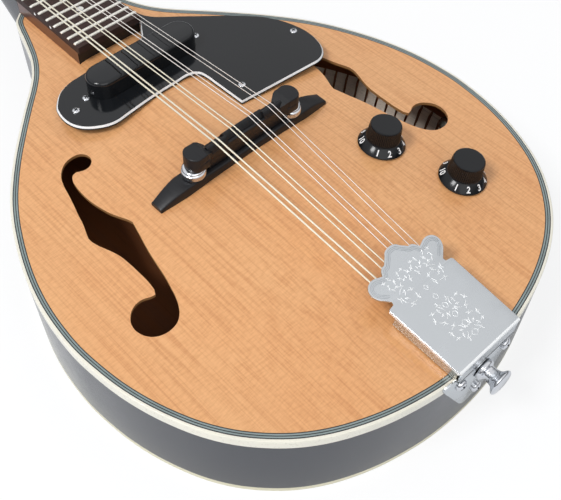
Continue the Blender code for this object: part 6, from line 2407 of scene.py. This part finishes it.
    def end_pin(self) -> None:
        """The flared end pin."""
        place = put(0, LINES.tail - 0.0006 - self.metal, LINES.depth - self.pin_drop)
        place = place @ spin(90, "X")
        big, tall = self.pin_radius, self.pin_height
        curve = smooth_path(((big * 0.82, 0.0012), (big * 0.80, 0.0017), (big * 0.58, 0.0028),
                             (big * 0.56, tall * 0.42), (big * 0.64, tall * 0.66), (big * 0.96, tall * 0.84),
                             (big, tall * 0.89), (big * 0.94, tall * 0.95), (big * 0.7, tall * 0.99)), 5)
        profile = [(0, -0.016), (0.0022, -0.016), (0.0022, 0.0), (big * 0.82, 0.0),
                   *in_plan(curve), (0, tall)]
        finished(turned(profile, 56, place), "end_pin_turned", "body", "end_pin", CHROME, stands=True)

    def build(self) -> None:
        """Build the tailpiece."""
        self.cover()
        self.ornament()
        self.tray()
        self.end_pin()


# Studio
@dataclass
class Studio:
    """Floor, light and camera."""

    camera_place: Point3 = (-0.20280, -0.23786, 0.38904)
    camera_turn: Point3 = (36.6787, -1.1576, -43.4059)
    lens: float = 55.704
    paper_light: float = 1.05
    paper_glow: float = 0.77
    ambient: float = 0.5
    floor_size: float = 6.0
    room: tuple[Point2, ...] = ((0.0, 0.12), (0.3, 0.34), (0.55, 0.95))

    def floor(self) -> None:
        """A plain pale floor that keeps the object's shadow."""
        bm = bmesh.new()
        bmesh.ops.create_grid(bm, x_segments=2, y_segments=2, size=self.floor_size)
        bmesh.ops.translate(bm, vec=(0, 0, -0.0001), verts=bm.verts)
        floor = as_object(bm, "studio_floor")
        material = bpy.data.materials.new("studio_paper")
        nodes = Nodes(material)
        nodes.set(Base_Color=(0.93, 0.935, 0.95, 1), Roughness=0.9, Specular_IOR_Level=0.1)
        light = nodes.add("Emission", Color_=(1, 1, 1, 1), Strength_=self.paper_light)
        share = nodes.add("Math", operation="MULTIPLY")
        share.inputs[1].default_value = self.paper_glow
        nodes.link(nodes.add("LightPath").outputs["Is Camera Ray"], share.inputs[0])
        nodes.link(nodes.mix(share.outputs[0], nodes.shader, light).outputs[0],
                   nodes.tree.nodes["Material Output"].inputs["Surface"])
        floor.data.materials.append(material)

    def world(self) -> None:
        """Even light all round, white where camera and transmission rays see it, and a grey that pales
        upwards where glossy rays see it.
        """
        world = bpy.data.worlds.new("studio_world")
        bpy.context.scene.world = world
        nodes = Nodes(world)
        soft = nodes.tree.nodes["Background"]
        soft.inputs["Color"].default_value = (0.93, 0.96, 1.0, 1)
        soft.inputs["Strength"].default_value = self.ambient
        white, wall = nodes.add("Background", Color_=(1, 1, 1, 1)), nodes.add("Background")
        split = nodes.add("SeparateXYZ")
        nodes.link(nodes.add("TexCoord").outputs["Generated"], split.inputs[0])
        stops = [(place, (level, level, level * 1.01)) for place, level in self.room]
        nodes.link(nodes.ramp(split.outputs["Z"], stops), wall.inputs["Color"])
        path, seen = nodes.add("LightPath"), nodes.add("Math", operation="MAXIMUM")
        nodes.link(path.outputs["Is Camera Ray"], seen.inputs[0])
        nodes.link(path.outputs["Is Transmission Ray"], seen.inputs[1])
        inner = nodes.mix(path.outputs["Is Glossy Ray"], soft, wall)
        outer = nodes.mix(seen.outputs[0], inner, white)
        nodes.link(outer.outputs[0], nodes.tree.nodes["World Output"].inputs["Surface"])

    def lamp(self, name: str, place: Point3, size: float, power: float) -> None:
        """An area lamp that faces the object.

        Args:
            name: the lamp's name.
            place: where it hangs.
            size: width of its face.
            power: in watts.
        """
        data = bpy.data.lights.new(name, "AREA")
        data.size = size
        data.energy = power
        holder = shown(name, data)
        holder.location = place
        aim = Vector((0, 0, 0.05)) - Vector(place)
        holder.rotation_euler = aim.to_track_quat("-Z", "Y").to_euler()

    def camera(self) -> None:
        """A camera at the photograph's angle."""
        data = bpy.data.cameras.new("camera")
        data.lens, data.sensor_width, data.sensor_fit = self.lens, 36.0, "HORIZONTAL"
        data.clip_start = 0.01
        holder = shown("camera", data)
        holder.location = self.camera_place
        holder.rotation_euler = [radians(turn) for turn in self.camera_turn]
        bpy.context.scene.camera = holder

    def build(self) -> None:
        """Build the studio."""
        self.floor()
        self.world()
        self.lamp("lamp_main", (-1.05, 0.10, 1.50), 0.45, 15.0)
        self.lamp("lamp_fill", (-0.55, -1.25, 1.35), 1.3, 5.5)
        self.camera()
        bpy.context.scene.view_settings.view_transform = "Standard"


def main() -> None:
    """Build every sub-assembly in order."""
    logging.basicConfig(level=logging.INFO, format="%(message)s")
    for part in (Studio(), Body(), Neck(), TUNERS, Bridge(), Strings(), Guard(), Controls(), Tailpiece()):
        LOG.info("building: %s", type(part).__name__)
        part.build()


if __name__ == "__main__":
    main()
